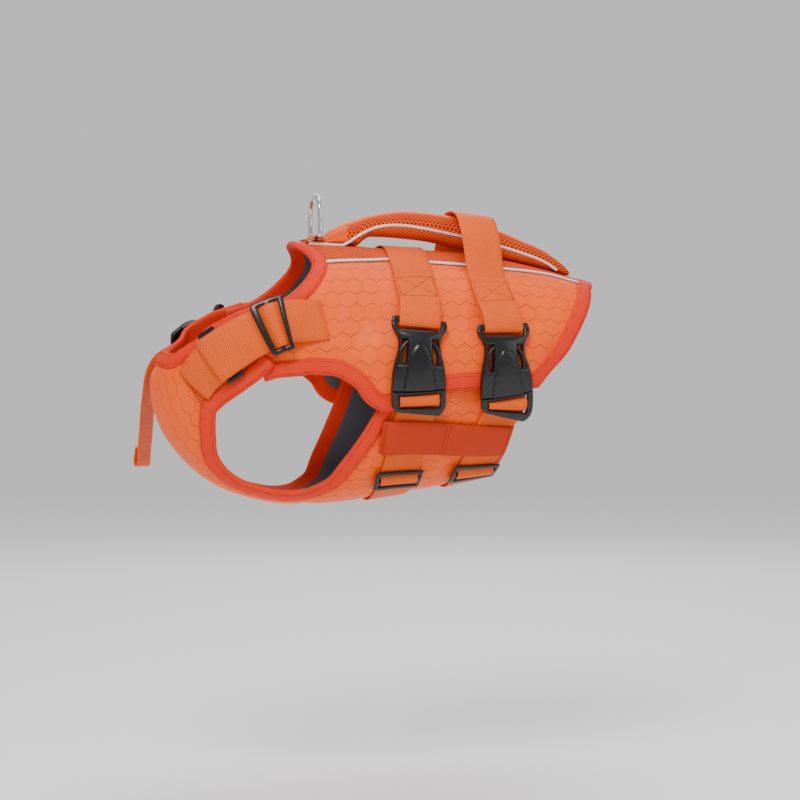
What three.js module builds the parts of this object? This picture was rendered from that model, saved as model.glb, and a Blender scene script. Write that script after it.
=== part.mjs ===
// Dog life jacket in the hollow form in which it is worn, in millimetres, +Z up, the front towards -X.
// The left side faces -Y. The origin is the inside of the saddle on the spine, at mid length.
import * as THREE from 'three';

// Wall layers, measured outwards from the inside of the garment
const LINING = 1.2;
const SEAM_GAP = 0.3;
const BINDING_GAP = 0.45;
const WALL_OUT = 8;
const OVERLAP_LIFT = 9.8;

// Tapes, webbing and piping
const BINDING_WIDTH = 18;
const BINDING_PROUD = 0.6;
const PIPING_WIDTH = 5;
const PIPING_PROUD = 1;
const WEBBING_WIDTH = 50;
const WEBBING = 1.8;
const BACK_REST = WALL_OUT + PIPING_PROUD + 1 + WEBBING / 2;
const BELLY_REST = WALL_OUT + 1.8 + WEBBING / 2;

// Handle and leash ring
const HANDLE_HALF_WIDTH = 21;
const HANDLE_PIPING = 3.2;
const RING_X = -168;
const RING_Z = 23;
const RING_WIRE = 6;
const RING_HALF_SPAN = 28;
const RING_HEIGHT = 57;
const TAB_WIDTH = 46;

// The worn form: each station is a slanted oval between a point on the spine and one under the body
const KEEL = 0.1;
const STATIONS = [
  { s: 0.00, dorsalX: -196, dorsalZ: 11, ventralX: -356, ventralZ: -118, halfWidth: 72 },
  { s: 0.08, dorsalX: -172, dorsalZ: 9, ventralX: -372, ventralZ: -165, halfWidth: 86 },
  { s: 0.16, dorsalX: -148, dorsalZ: 8, ventralX: -352, ventralZ: -225, halfWidth: 98 },
  { s: 0.24, dorsalX: -124, dorsalZ: 7, ventralX: -301, ventralZ: -277, halfWidth: 107 },
  { s: 0.32, dorsalX: -99, dorsalZ: 5, ventralX: -228, ventralZ: -303, halfWidth: 113 },
  { s: 0.40, dorsalX: -74, dorsalZ: 4, ventralX: -148, ventralZ: -305, halfWidth: 117 },
  { s: 0.48, dorsalX: -50, dorsalZ: 3, ventralX: -78, ventralZ: -296, halfWidth: 119 },
  { s: 0.61, dorsalX: 10, dorsalZ: 0, ventralX: -12, ventralZ: -287, halfWidth: 119 },
  { s: 0.74, dorsalX: 70, dorsalZ: -8, ventralX: 50, ventralZ: -275, halfWidth: 116 },
  { s: 0.87, dorsalX: 132, dorsalZ: -21, ventralX: 114, ventralZ: -262, halfWidth: 111 },
  { s: 1.00, dorsalX: 200, dorsalZ: -39, ventralX: 180, ventralZ: -250, halfWidth: 104 },
];

// Edges of the cloth panels, as [s, degrees round from the spine], before the bindings are added
const NECK_EDGE = [
  [0.108, 88], [0.125, 81.5], [0.144, 75.4], [0.162, 66.3], [0.172, 54.5], [0.169, 44], [0.158, 36.5],
];
const PIPING_LINE = [
  [0.158, 36.5], [0.218, 32], [0.379, 26], [0.520, 28], [0.629, 28.7], [0.746, 27], [0.867, 21.7],
  [0.943, 22.1],
];
const ARMHOLE_FRONT = [[0.175, 103], [0.199, 94.7], [0.253, 86.1]];
const ARMHOLE_AND_LOWER = [
  [0.253, 86.1], [0.310, 84], [0.365, 89.2], [0.395, 96], [0.420, 98], [0.489, 93], [0.553, 91.3],
  [0.643, 91.1], [0.717, 92.5], [0.785, 91.5],
];
const TONGUE_END = [[0.108, 88], [0.143, 94], [0.175, 103]];
const SHOULDER_SEAM = [[0.158, 36.5], [0.215, 62], [0.253, 86.1]];
const REAR_EDGE = [[0.943, 22.1], [0.916, 45], [0.880, 64.1], [0.847, 77.3], [0.785, 91.5]];
const SPINE_FRONT = [[0.158, 36.5], [0.127, 28.7], [0.046, 10.7], [0.034, 0]];
const SPINE_REAR = [[0.943, 22.1], [0.958, 12], [0.966, 0]];
const CHEST_NECK = [[0.066, 135], [0.062, 145.6], [0.042, 164], [0.033, 180]];
const CHEST_SEAM = [[0.066, 135], [0.110, 134.5], [0.152, 133.5]];
const CHEST_ARMHOLE = [
  [0.152, 133.5], [0.184, 145.3], [0.214, 157], [0.256, 164.5], [0.302, 166.5], [0.340, 165], [0.362, 161],
];
const BELLY_FRONT = [
  [0.448, 90], [0.436, 103.4], [0.415, 121.3], [0.399, 135.9], [0.388, 149], [0.362, 161],
];
const BELLY_TOP = [[0.448, 90], [0.590, 88], [0.727, 88]];
const BELLY_REAR = [[0.727, 88], [0.728, 116], [0.724, 144], [0.725, 180]];
const STRIP_LINE = [[0.362, 161], [0.362, 180]];
const PAD_NECK = [[0.066, 135], [0.069, 126.8], [0.089, 101.8], [0.103, 91], [0.120, 84]];
const PAD_ARMHOLE = [[0.152, 133.5], [0.152, 124], [0.160, 111], [0.168, 102], [0.170, 95]];
const PAD_TIP = [[0.120, 84], [0.150, 86], [0.170, 95]];

// Centre lines of the straps, as [s, degrees]: girth straps from the spine down one side to the belly
const FRONT_GIRTH = [
  [0.452, 0], [0.450, 27], [0.457, 43], [0.465, 54], [0.463, 68], [0.467, 81.6], [0.473, 94.5],
  [0.480, 105.4], [0.477, 116], [0.476, 134], [0.478, 150], [0.478, 180],
];
const REAR_GIRTH = [
  [0.652, 0], [0.658, 20], [0.665, 38.8], [0.669, 47], [0.675, 54], [0.686, 69.6], [0.693, 84],
  [0.706, 98], [0.714, 108], [0.705, 118], [0.690, 134], [0.682, 150], [0.682, 180],
];
const SHOULDER_LINE = [
  [0.238, 68], [0.205, 72], [0.175, 76.5], [0.150, 83], [0.133, 91], [0.121, 101], [0.114, 112],
  [0.112, 122], [0.118, 132],
];
const KEEPER_LINE = [[0.425, 117.8], [0.589, 123.5], [0.752, 129.8]];

// Strap stations, in degrees round from the spine, and the rear strap's rise over the handle
const BUCKLE_TOP = { front: 65.5, rear: 68 };
const BELLY_SLIDE = { front: 146, rear: 151 };
const SHOULDER_SLIDE = 83;
const SHOULDER_LOOP = 110;
const LOOP_RISE = [[0, 60], [8, 57.5], [16, 44], [24, 29], [32, 16.5], [38, 11], [43, 10.2]];

// Side-release buckle: rows down its length with half widths, and slots left open for the webbing
const BUCKLE_SLOT = 26.3;
const SOCKET_ROWS = [
  { d: 0, w: [10, 18, BUCKLE_SLOT, 32], low: 20.8, high: [25.4, 25.4, 25.4, 25.4] },
  { d: 7, w: [10, 18, BUCKLE_SLOT, 34], low: 20.8, high: [25.4, 25.4, 25.4, 26] },
  { d: 15, w: [10, 18, BUCKLE_SLOT, 33], low: 19, high: [29, 29, 28, 26] },
  { d: 24, w: [9, 15, 21, 26.5], low: 19, high: [31.5, 31.5, 30, 27] },
  { d: 36, w: [9, 14, 20, 26], low: 19, high: [32, 32, 30, 27] },
  { d: 48, w: [11, 16, 25, 30], low: 19, high: [33, 32.5, 30, 27] },
  { d: 62, w: [13, 20, 28, 32], low: 19, high: [33, 32.5, 30.5, 27] },
  { d: 76, w: [15, 22, 30, 33.5], low: 19, high: [32.5, 32, 30, 27] },
  { d: 86, w: [16, 23, 31, 34], low: 19, high: [31.5, 31, 29.5, 27] },
];
const PLUG_ROWS = [
  { d: 86.4, w: [13, BUCKLE_SLOT, 34], low: [20.5, 20.5, 19], high: [31, 30, 27] },
  { d: 90.5, w: [13, BUCKLE_SLOT, 34], low: [20.5, 20.5, 19], high: [29, 29, 27] },
  { d: 95.5, w: [13, BUCKLE_SLOT, 34], low: [22, 22, 19], high: [26.4, 26.4, 27] },
  { d: 102, w: [13, BUCKLE_SLOT, 33.5], low: [22, 22, 19], high: [26.4, 26.4, 26.5] },
  { d: 107.5, w: [13, BUCKLE_SLOT, 33], low: [21, 21, 19.5], high: [28, 28, 26] },
  { d: 116, w: [13, 26, 30.5], low: [22, 22, 22], high: [25, 25, 24.5] },
];
const SLIDE_WIDTH = 31;

// Cells along and across the cloth grids
const TONGUE_CELLS = 6;
const SIDE_CELLS = 16;
const SIDE_ROWS = 7;
const SPINE_ROWS = 5;
const SEAM_CELLS = 4;
const CHEST_ARM_CELLS = 10;
const CHEST_HALF_ROWS = 4;
const BELLY_CELLS = 6;
const BELLY_FRONT_CELLS = 7;
const PAD_CELLS = 6;

const COLOURS = {
  hexCloth: 0xef7d37,
  mesh: 0xe8641f,
  tape: 0xe2553a,
  webbing: 0xe8823f,
  piping: 0xe6e8ea,
  lining: 0x404246,
  plastic: 0x2d2d30,
  steel: 0xc9cbd0,
};
const material = (name) => new THREE.MeshStandardMaterial({
  color: COLOURS[name],
  roughness: { plastic: 0.45, steel: 0.25 }[name] ?? 0.85,
  metalness: name === 'steel' ? 1 : 0,
  side: THREE.FrontSide,
});

const jacket = new THREE.Group();
const addPart = (name, finish, geometry) => {
  const mesh = new THREE.Mesh(geometry, material(finish));
  mesh.name = name;
  jacket.add(mesh);
};

const mix = (a, b, f) => a + (b - a) * f;
const smooth = (from, to, value) => {
  const f = Math.min(1, Math.max(0, (value - from) / (to - from)));
  return f * f * (3 - 2 * f);
};
const foldAngle = (deg) => Math.abs(((((deg + 180) % 360) + 360) % 360) - 180);

// Cubic through the stations, for one of their named columns
const slope = (key, i) => {
  const low = Math.max(0, i - 1);
  const high = Math.min(STATIONS.length - 1, i + 1);
  const rate = (a, b) => (STATIONS[b][key] - STATIONS[a][key]) / (STATIONS[b].s - STATIONS[a].s);
  if (low === i || high === i) {
    return rate(low, high);
  }
  const before = STATIONS[i].s - STATIONS[low].s;
  const after = STATIONS[high].s - STATIONS[i].s;
  return (rate(i, high) * before + rate(low, i) * after) / (before + after);
};
const along = (key, s) => {
  let i = 0;
  while (i < STATIONS.length - 2 && s > STATIONS[i + 1].s) {
    i += 1;
  }
  const span = STATIONS[i + 1].s - STATIONS[i].s;
  const u = (s - STATIONS[i].s) / span;
  const ends = [STATIONS[i][key], STATIONS[i + 1][key]];
  const slopes = [slope(key, i) * span, slope(key, i + 1) * span];
  return (2 * u ** 3 - 3 * u ** 2 + 1) * ends[0] + (u ** 3 - 2 * u ** 2 + u) * slopes[0]
    + (3 * u ** 2 - 2 * u ** 3) * ends[1] + (u ** 3 - u ** 2) * slopes[1];
};

// A point on the inside of the garment, its outward normal, and a point some height above it
const form = (s, deg) => {
  const turn = THREE.MathUtils.degToRad(deg);
  const dorsalX = along('dorsalX', s);
  const dorsalZ = along('dorsalZ', s);
  const ventralX = along('ventralX', s);
  const ventralZ = along('ventralZ', s);
  const f = (1 + Math.cos(turn)) / 2;
  const y = -along('halfWidth', s) * Math.sin(turn) * (1 + KEEL * Math.cos(turn));
  return new THREE.Vector3(mix(ventralX, dorsalX, f), y, mix(ventralZ, dorsalZ, f));
};
const DELTA_S = 1e-4;
const DELTA_DEG = 0.01;
const slopes = (s, deg) => [
  form(s + DELTA_S, deg).sub(form(s - DELTA_S, deg)).divideScalar(2 * DELTA_S),
  form(s, deg + DELTA_DEG).sub(form(s, deg - DELTA_DEG)).divideScalar(2 * DELTA_DEG),
];
const outward = (s, deg) => {
  const [alongBody, round] = slopes(s, deg);
  return round.cross(alongBody).normalize();
};
const skin = (s, deg, height) => form(s, deg).addScaledVector(outward(s, deg), height);

// A step of some millimetres over the surface, in a direction given in space
const walk = (s, deg, direction, distance) => {
  const steps = 3;
  let at = [s, deg];
  for (let i = 0; i < steps; i += 1) {
    const [a, b] = slopes(at[0], at[1]);
    const aa = a.dot(a);
    const ab = a.dot(b);
    const bb = b.dot(b);
    const ad = a.dot(direction);
    const bd = b.dot(direction);
    const scale = distance / steps / (aa * bb - ab * ab);
    at = [at[0] + (ad * bb - bd * ab) * scale, at[1] + (bd * aa - ad * ab) * scale];
  }
  return at;
};

// Evenly spaced points on a smooth curve through a short list of [s, degrees]
const S_SCALE = 600;
const DEG_SCALE = 2.5;
const curveOver = (list) => new THREE.CatmullRomCurve3(
  list.map(([s, deg]) => new THREE.Vector3(s * S_SCALE, deg * DEG_SCALE, 0)), false, 'centripetal',
);
const sample = (list, cells) => curveOver(list).getSpacedPoints(cells)
  .map((p) => [p.x / S_SCALE, p.y / DEG_SCALE]);
const mirrored = (list) => list.map(([s, deg]) => [s, -deg]).reverse();
const acrossBelly = (list) => list.map(([s, deg]) => [s, 360 - deg]).reverse();

// A grid of points inside four edges: near and far run along, start and end run across
const fill = (near, far, start, end) => near.map((unused, i) => start.map((ignored, j) => {
  const u = i / (near.length - 1);
  const v = j / (start.length - 1);
  const corner = (k) => mix(mix(near[0][k], near.at(-1)[k], u), mix(far[0][k], far.at(-1)[k], u), v);
  return [0, 1].map((k) => mix(near[i][k], far[i][k], v) + mix(start[j][k], end[j][k], u) - corner(k));
}));

// A flat net of four-sided cells, whose points are [a, b] with optional heights of their own
class Net {
  constructor() {
    this.points = [];
    this.cells = [];
    this.keys = new Map();
  }

  point(a, b, heights) {
    const key = `${Math.round(a * 1e4)}_${Math.round(b * 1e3)}`;
    if (!this.keys.has(key)) {
      this.keys.set(key, this.points.length);
      this.points.push({ a, b, heights });
    }
    return this.keys.get(key);
  }

  cell(corners) {
    const area = corners.reduce((sum, id, i) => {
      const p = this.points[id];
      const q = this.points[corners[(i + 1) % corners.length]];
      return sum + p.a * q.b - q.a * p.b;
    }, 0);
    this.cells.push(area > 0 ? corners : [...corners].reverse());
  }

  grid(rows, skip = () => false, heights = undefined) {
    const ids = rows.map((row, i) => row.map(([a, b], j) => this.point(a, b, heights?.[i]?.[j])));
    for (let i = 0; i < rows.length - 1; i += 1) {
      for (let j = 0; j < rows[i].length - 1; j += 1) {
        if (!skip(i, j)) {
          this.cell([ids[i][j], ids[i + 1][j], ids[i + 1][j + 1], ids[i][j + 1]]);
        }
      }
    }
    return this;
  }

  nextOnEdge() {
    const used = new Set();
    this.cells.forEach((c) => c.forEach((id, i) => used.add(`${id}_${c[(i + 1) % c.length]}`)));
    const next = new Map();
    this.cells.forEach((c) => c.forEach((id, i) => {
      const to = c[(i + 1) % c.length];
      if (!used.has(`${to}_${id}`)) {
        next.set(id, to);
      }
    }));
    return next;
  }
}

// A closed wall over a net: place(a, b, height) gives a point, low and high its two faces
const wall = (net, place, low, high) => {
  const count = net.points.length;
  const spots = [low, high].flatMap((face, side) => net.points.map((p) => {
    const height = p.heights ? p.heights[side] : face(p.a, p.b);
    return place(p.a, p.b, height);
  }));
  const triangles = [];
  const quad = (p, q, r, t) => {
    const short = spots[p].distanceToSquared(spots[r]) <= spots[q].distanceToSquared(spots[t]);
    triangles.push(...(short ? [p, q, r, p, r, t] : [p, q, t, q, r, t]));
  };
  net.cells.forEach(([p, q, r, t]) => {
    quad(p, q, r, t);
    quad(t + count, r + count, q + count, p + count);
  });
  net.nextOnEdge().forEach((to, from) => quad(from, from + count, to + count, to));
  let volume = 0;
  for (let i = 0; i < triangles.length; i += 3) {
    const [p, q, r] = [0, 1, 2].map((k) => spots[triangles[i + k]]);
    volume += p.dot(new THREE.Vector3().crossVectors(q, r));
  }
  const geometry = new THREE.BufferGeometry().setFromPoints(spots);
  geometry.setIndex(volume > 0 ? triangles : triangles.reverse());
  geometry.computeVertexNormals();
  return geometry;
};

// How far the saddle rides up over the belly flap, and the shoulder pads over the tongues
const saddleLift = (s, deg) => OVERLAP_LIFT * smooth(62, 78, foldAngle(deg))
  * smooth(0.32, 0.375, s) * (1 - smooth(0.79, 0.86, s));
const padLift = (s, deg) => OVERLAP_LIFT * smooth(127, 111, foldAngle(deg)) * (s < 0.3 ? 1 : 0);
const clothWall = (net, lift, low, high) => wall(net, (s, deg, h) => skin(s, deg, h + lift(s, deg)),
  () => low, () => high);

// A strip that starts a gap outside a net's edge, between the edge points nearest two places
const ROUNDED = 0.35;
const band = (net, from, to, gap, width, low, high) => {
  const next = net.nextOnEdge();
  const before = new Map([...next].map(([a, b]) => [b, a]));
  const nearest = ([a, b]) => [...next.keys()].reduce((best, id) => {
    const miss = (k) => Math.hypot((net.points[k].a - a) * S_SCALE, (net.points[k].b - b) * DEG_SCALE);
    return miss(id) < miss(best) ? id : best;
  });
  const chain = [nearest(from)];
  const last = nearest(to);
  while (chain.at(-1) !== last) {
    chain.push(next.get(chain.at(-1)));
  }
  const spot = (id) => form(net.points[id].a, net.points[id].b);
  const sideways = (p, q) => {
    const normal = outward(net.points[p].a, net.points[p].b);
    const edge = spot(q).sub(spot(p)).normalize();
    const side = new THREE.Vector3().crossVectors(normal, edge).normalize();
    const [alongBody, round] = slopes(net.points[p].a, net.points[p].b);
    const stepA = net.points[q].b - net.points[p].b;
    const stepB = net.points[p].a - net.points[q].a;
    const guess = alongBody.multiplyScalar(stepA / (S_SCALE * S_SCALE))
      .addScaledVector(round, stepB / (DEG_SCALE * DEG_SCALE));
    return side.dot(guess) > 0 ? side : side.negate();
  };
  const rows = chain.map((id, k) => {
    const sides = [sideways(before.get(id), id), sideways(id, next.get(id))];
    const direction = sides[0].clone().add(sides[1]).normalize();
    const stretch = 1 / Math.max(0.55, direction.dot(sides[0]));
    const neighbour = chain[k === 0 ? 1 : k - 1];
    const inwards = spot(neighbour).sub(spot(id)).normalize();
    const butt = k === 0 || k === chain.length - 1 ? SEAM_GAP / 2 : 0;
    const { a, b } = net.points[id];
    return [gap, gap + width * 0.7, gap + width].map((d) => {
      const out = walk(a, b, direction, d * stretch);
      return walk(out[0], out[1], inwards, butt);
    });
  });
  const strip = new Net();
  const rim = [mix(low, high, ROUNDED), mix(high, low, ROUNDED)];
  const faces = [[low, high], [low, high], rim];
  strip.grid(rows, undefined, rows.map(() => faces));
  return strip;
};
const stripWall = (strip, lift) => wall(strip, (s, deg, h) => skin(s, deg, h + lift(s, deg)));

// Saddle: two sides with shoulder tongues, and the air-mesh strip along the spine between two pipings
const sideRows = () => {
  const seam = sample(SHOULDER_SEAM, SIDE_ROWS);
  return {
    tongue: fill(sample(NECK_EDGE, TONGUE_CELLS), sample(ARMHOLE_FRONT, TONGUE_CELLS),
      sample(TONGUE_END, SIDE_ROWS), seam),
    side: fill(sample(PIPING_LINE, SIDE_CELLS), sample(ARMHOLE_AND_LOWER, SIDE_CELLS), seam,
      sample(REAR_EDGE, SIDE_ROWS)),
  };
};
const flip = (rows) => rows.map((row) => row.map(([s, deg]) => [s, -deg]));
const { tongue, side } = sideRows();
const topRow = side.map((row) => row[0]);
const besidePiping = (distance) => topRow.map(([s, deg], i) => {
  const here = form(s, deg);
  const edge = form(...topRow[Math.min(i + 1, SIDE_CELLS)]).sub(form(...topRow[Math.max(i - 1, 0)]));
  const up = new THREE.Vector3().crossVectors(outward(s, deg), edge).normalize();
  if (up.dot(form(s, deg - 1).sub(here)) < 0) {
    up.negate();
  }
  return walk(s, deg, up, distance);
});
const spineEdge = besidePiping(PIPING_WIDTH + 2 * SEAM_GAP);
const acrossSpine = (list, corner, cells) => {
  const half = sample([corner, ...list.slice(1)], cells);
  const whole = [...half, ...half.slice(0, -1).reverse().map(([s, deg]) => [s, -deg])];
  return sample(whole, SPINE_ROWS);
};
const spineRows = fill(spineEdge, spineEdge.map(([s, deg]) => [s, -deg]),
  acrossSpine(SPINE_FRONT, spineEdge[0], 4), acrossSpine(SPINE_REAR, spineEdge.at(-1), 4));

const SIDES = [['left', 1], ['right', -1]];
const WALL_IN = LINING + SEAM_GAP;
const backNet = new Net();
backNet.grid(tongue).grid(side).grid(flip(tongue)).grid(flip(side)).grid(spineRows);
backNet.grid([topRow, spineEdge]).grid([topRow, spineEdge].map((row) => row.map(([s, deg]) => [s, -deg])));
SIDES.forEach(([name, sign]) => {
  const turn = (rows) => (sign > 0 ? rows : flip(rows));
  const net = new Net().grid(turn(tongue)).grid(turn(side));
  addPart(`side_panel_${name}`, 'hexCloth', clothWall(net, saddleLift, WALL_IN, WALL_OUT));
  const piping = new Net().grid(turn([besidePiping(SEAM_GAP), besidePiping(SEAM_GAP + PIPING_WIDTH)]));
  addPart(`spine_piping_${name}`, 'piping', clothWall(piping, saddleLift, WALL_IN, WALL_OUT + PIPING_PROUD));
});
addPart('spine_panel', 'mesh', clothWall(new Net().grid(spineRows), saddleLift, WALL_IN, WALL_OUT));
addPart('back_lining', 'lining', clothWall(backNet, saddleLift, 0, LINING));
const BIND_OUT = WALL_OUT + BINDING_PROUD;
const opposite = ([s, deg]) => [s, -deg];
addPart('neck_binding', 'tape', stripWall(
  band(backNet, NECK_EDGE[0], opposite(NECK_EDGE[0]), BINDING_GAP, BINDING_WIDTH, 0, BIND_OUT), saddleLift));
const TONGUE_CORNER = ARMHOLE_FRONT[0];
addPart('edge_binding', 'tape', stripWall(
  band(backNet, opposite(TONGUE_CORNER), TONGUE_CORNER, BINDING_GAP, BINDING_WIDTH, 0, BIND_OUT), saddleLift));

// Front: chest bib, narrow strap between the forelegs and belly flap in one piece, with two mesh pads
const chestStart = [...sample(CHEST_SEAM, SEAM_CELLS), ...sample(CHEST_ARMHOLE, CHEST_ARM_CELLS).slice(1)];
const wholeRow = (list, half) => {
  const left = sample(list, half);
  return [...left, ...acrossBelly(left).slice(1)];
};
const chestRows = fill(chestStart, chestStart.map(([s, deg]) => [s, 360 - deg]),
  wholeRow(CHEST_NECK, CHEST_HALF_ROWS), wholeRow(STRIP_LINE, CHEST_HALF_ROWS));
const bellyFront = (() => {
  const left = sample(BELLY_FRONT, BELLY_FRONT_CELLS);
  return [...left.slice(0, -1), ...wholeRow(STRIP_LINE, CHEST_HALF_ROWS), ...acrossBelly(left).slice(1)];
})();
const bellyRear = wholeRow(BELLY_REAR, BELLY_FRONT_CELLS + CHEST_HALF_ROWS);
const bellyTop = sample(BELLY_TOP, BELLY_CELLS);
const bellyRows = fill(bellyTop, bellyTop.map(([s, deg]) => [s, 360 - deg]), bellyFront, bellyRear);
const padRows = fill(sample(PAD_NECK, PAD_CELLS), sample(PAD_ARMHOLE, PAD_CELLS),
  sample(CHEST_SEAM, SEAM_CELLS), sample(PAD_TIP, SEAM_CELLS));
const overBelly = (rows) => rows.map((row) => row.map(([s, deg]) => [s, 360 - deg]));
const frontPanel = new Net().grid(chestRows).grid(bellyRows);
const frontNet = new Net().grid(chestRows).grid(bellyRows).grid(padRows).grid(overBelly(padRows));
addPart('front_panel', 'hexCloth', clothWall(frontPanel, padLift, WALL_IN, WALL_OUT));
addPart('front_lining', 'lining', clothWall(frontNet, padLift, 0, LINING));
SIDES.forEach(([name, sign]) => {
  const turn = (rows) => (sign > 0 ? rows : overBelly(rows));
  const parted = padRows.map((row, i) => (i > 0 ? row : row.map(([s, deg], j) => {
    const away = form(...padRows[1][j]).sub(form(s, deg)).normalize();
    return walk(s, deg, away, SEAM_GAP);
  })));
  const padNet = new Net().grid(turn(parted));
  addPart(`shoulder_pad_${name}`, 'mesh', clothWall(padNet, padLift, WALL_IN, WALL_OUT));
});
const overFront = ([s, deg]) => [s, 360 - deg];
const TIP = PAD_TIP.at(-1);
const edges = [
  ['front_neck_binding', overFront(TIP), TIP],
  ['leg_binding_left', TIP, BELLY_FRONT[0]],
  ['leg_binding_right', overFront(BELLY_FRONT[0]), overFront(TIP)],
  ['belly_rear_binding', BELLY_REAR[0], overFront(BELLY_REAR[0])],
];
edges.forEach(([name, from, to]) => addPart(name, 'tape',
  stripWall(band(frontNet, from, to, BINDING_GAP, BINDING_WIDTH, 0, BIND_OUT), padLift)));

// A centre line over the body: distances run along it at strap height, widths run sideways from it
const LINE_HEIGHT = 17;
const LINE_STEPS = 400;
class Line {
  constructor(list) {
    this.points = sample(list, LINE_STEPS);
    const spots = this.points.map(([s, deg]) => skin(s, deg, LINE_HEIGHT));
    this.reached = [0];
    spots.slice(1).forEach((spot, i) => this.reached.push(this.reached[i] + spot.distanceTo(spots[i])));
    this.zero = 0;
  }

  at(distance) {
    const d = distance + this.zero;
    let i = 0;
    while (i < LINE_STEPS - 1 && this.reached[i + 1] < d) {
      i += 1;
    }
    const f = (d - this.reached[i]) / (this.reached[i + 1] - this.reached[i]);
    return [0, 1].map((k) => mix(this.points[i][k], this.points[i + 1][k], f));
  }

  reach(deg) {
    const i = this.points.findIndex((p, k) => k > 0 && (p[1] - deg) * (this.points[k - 1][1] - deg) <= 0);
    const [from, to] = [this.points[i - 1][1], this.points[i][1]];
    return mix(this.reached[i - 1], this.reached[i], (deg - from) / (to - from)) - this.zero;
  }

  place(distance, width, height) {
    const [s, deg] = this.at(distance);
    const ahead = skin(...this.at(distance + 1), LINE_HEIGHT);
    const behind = skin(...this.at(distance - 1), LINE_HEIGHT);
    const sideways = new THREE.Vector3().crossVectors(outward(s, deg), ahead.sub(behind)).normalize();
    return skin(...walk(s, deg, sideways, width), height);
  }
}
const girthLine = (list) => {
  const down = list.slice(1);
  const line = new Line([
    ...mirrored(down.filter((p) => p[1] < 135)), ...list,
    ...acrossBelly(down.slice(0, -1)).filter((p) => p[1] < 290),
  ]);
  line.zero = line.reach(0);
  return line;
};

// Places on a curve, close together where it turns and further apart where it runs straight
const LONGEST_STEP = 12;
const MOST_TURN = 0.55;
const spread = (curve) => {
  curve.arcLengthDivisions = 1500;
  const length = curve.getLength();
  const count = Math.ceil(length);
  const heading = (i) => curve.getTangentAt(i / count);
  const kept = [0];
  let turned = 0;
  for (let i = 1; i < count; i += 1) {
    turned += heading(i).angleTo(heading(i - 1));
    if (turned > MOST_TURN || (i - kept.at(-1)) * (length / count) > LONGEST_STEP) {
      kept.push(i);
      turned = 0;
    }
  }
  kept.push(count);
  return kept.map((i) => ({ spot: curve.getPointAt(i / count), run: heading(i), part: i / count }));
};
const ribbonNet = (places, width, across) => new Net().grid(places.map((unused, i) => (
  Array.from({ length: across + 1 }, (ignored, j) => [i, mix(-width / 2, width / 2, j / across)]))));

// Webbing that follows a path of [distance, height] along a line, or a path of points in space
const ribbon = (line, path, width = WEBBING_WIDTH, across = 1) => {
  const flat = path.map(([d, h]) => new THREE.Vector3(d, h, 0));
  const places = spread(new THREE.CatmullRomCurve3(flat, false, 'centripetal'));
  const place = (i, w, side) => line.place(
    places[i].spot.x - places[i].run.y * side, w, places[i].spot.y + places[i].run.x * side);
  return wall(ribbonNet(places, width, across), place, () => -WEBBING / 2, () => WEBBING / 2);
};
const spaceRibbon = (points, axisAt, width) => {
  const places = spread(new THREE.CatmullRomCurve3(points, false, 'centripetal'));
  const place = (i, w, side) => {
    const axis = axisAt(places[i].part);
    const face = new THREE.Vector3().crossVectors(places[i].run, axis).normalize();
    return places[i].spot.clone().addScaledVector(axis, w).addScaledVector(face, side);
  };
  return wall(ribbonNet(places, width, 1), place, () => -WEBBING / 2, () => WEBBING / 2);
};

// Hard fittings laid along a line: rows down the length, mirrored half widths, and open cells
const fitting = (line, top, rows, open, { sign = 1, shrink = 1, raise = 0, flipAt = 0 } = {}) => {
  const middle = rows[0].w[0] === 0 ? 1 : 0;
  const both = (list, sides = 1) => [...list.slice(middle).map((v) => v * sides).reverse(), ...list];
  const net = new Net().grid(
    rows.map((row) => both(row.w, -1).map((w) => [row.d * shrink, w])),
    open,
    rows.map((row) => {
      const lows = both(row.w.map((unused, j) => row.low[j] ?? row.low));
      const highs = both(row.w.map((unused, j) => row.high[j] ?? row.high));
      return lows.map((low, j) => [low + raise, highs[j] + raise]);
    }),
  );
  const run = (d) => (flipAt ? 2 * flipAt - (top + d) : sign * (top + d));
  return wall(net, (d, w, h) => line.place(run(d), w, h));
};
const openSocket = (i, j) => (i === 1 && j > 0 && j < 6) || ((i === 4 || i === 3) && (j === 1 || j === 5));
const openPlug = (i, j) => (i === 1 || i === 3) && j > 0 && j < 4;
const slideRows = (columns, low, high, middle) => [-17, -11, -3.5, 3.5, 11, 17].map((d, i) => ({
  d,
  w: columns,
  low: i === 2 || i === 3 ? middle[0] : low,
  high: i === 2 || i === 3 ? columns.map((w) => (w === SLIDE_WIDTH ? high : middle[1])) : high,
}));
const openSlide = (i, j) => (i === 1 || i === 3) && j === 1;
const openWideSlide = (i, j) => (i === 1 || i === 3) && (j === 1 || j === 2);

// A strap of webbing through a three-bar slide lies at its rest height, and climbs over the middle bar
const throughSlide = (d, rest) => [
  [d - 17, rest], [d - 12.5, rest], [d - 10.5, rest + 0.35], [d - 7.4, rest + 3.1], [d - 4.3, rest + 6],
  [d - 2, rest + 6.9], [d, rest + 7.1], [d + 2, rest + 6.9], [d + 4.3, rest + 6], [d + 7.4, rest + 3.1],
  [d + 10.5, rest + 0.35], [d + 12.5, rest], [d + 17, rest],
];
const slideOn = (rest, columns) => slideRows(columns, rest + 2, rest + 5.4, [rest - 0.2, rest + 4.8]);

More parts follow.
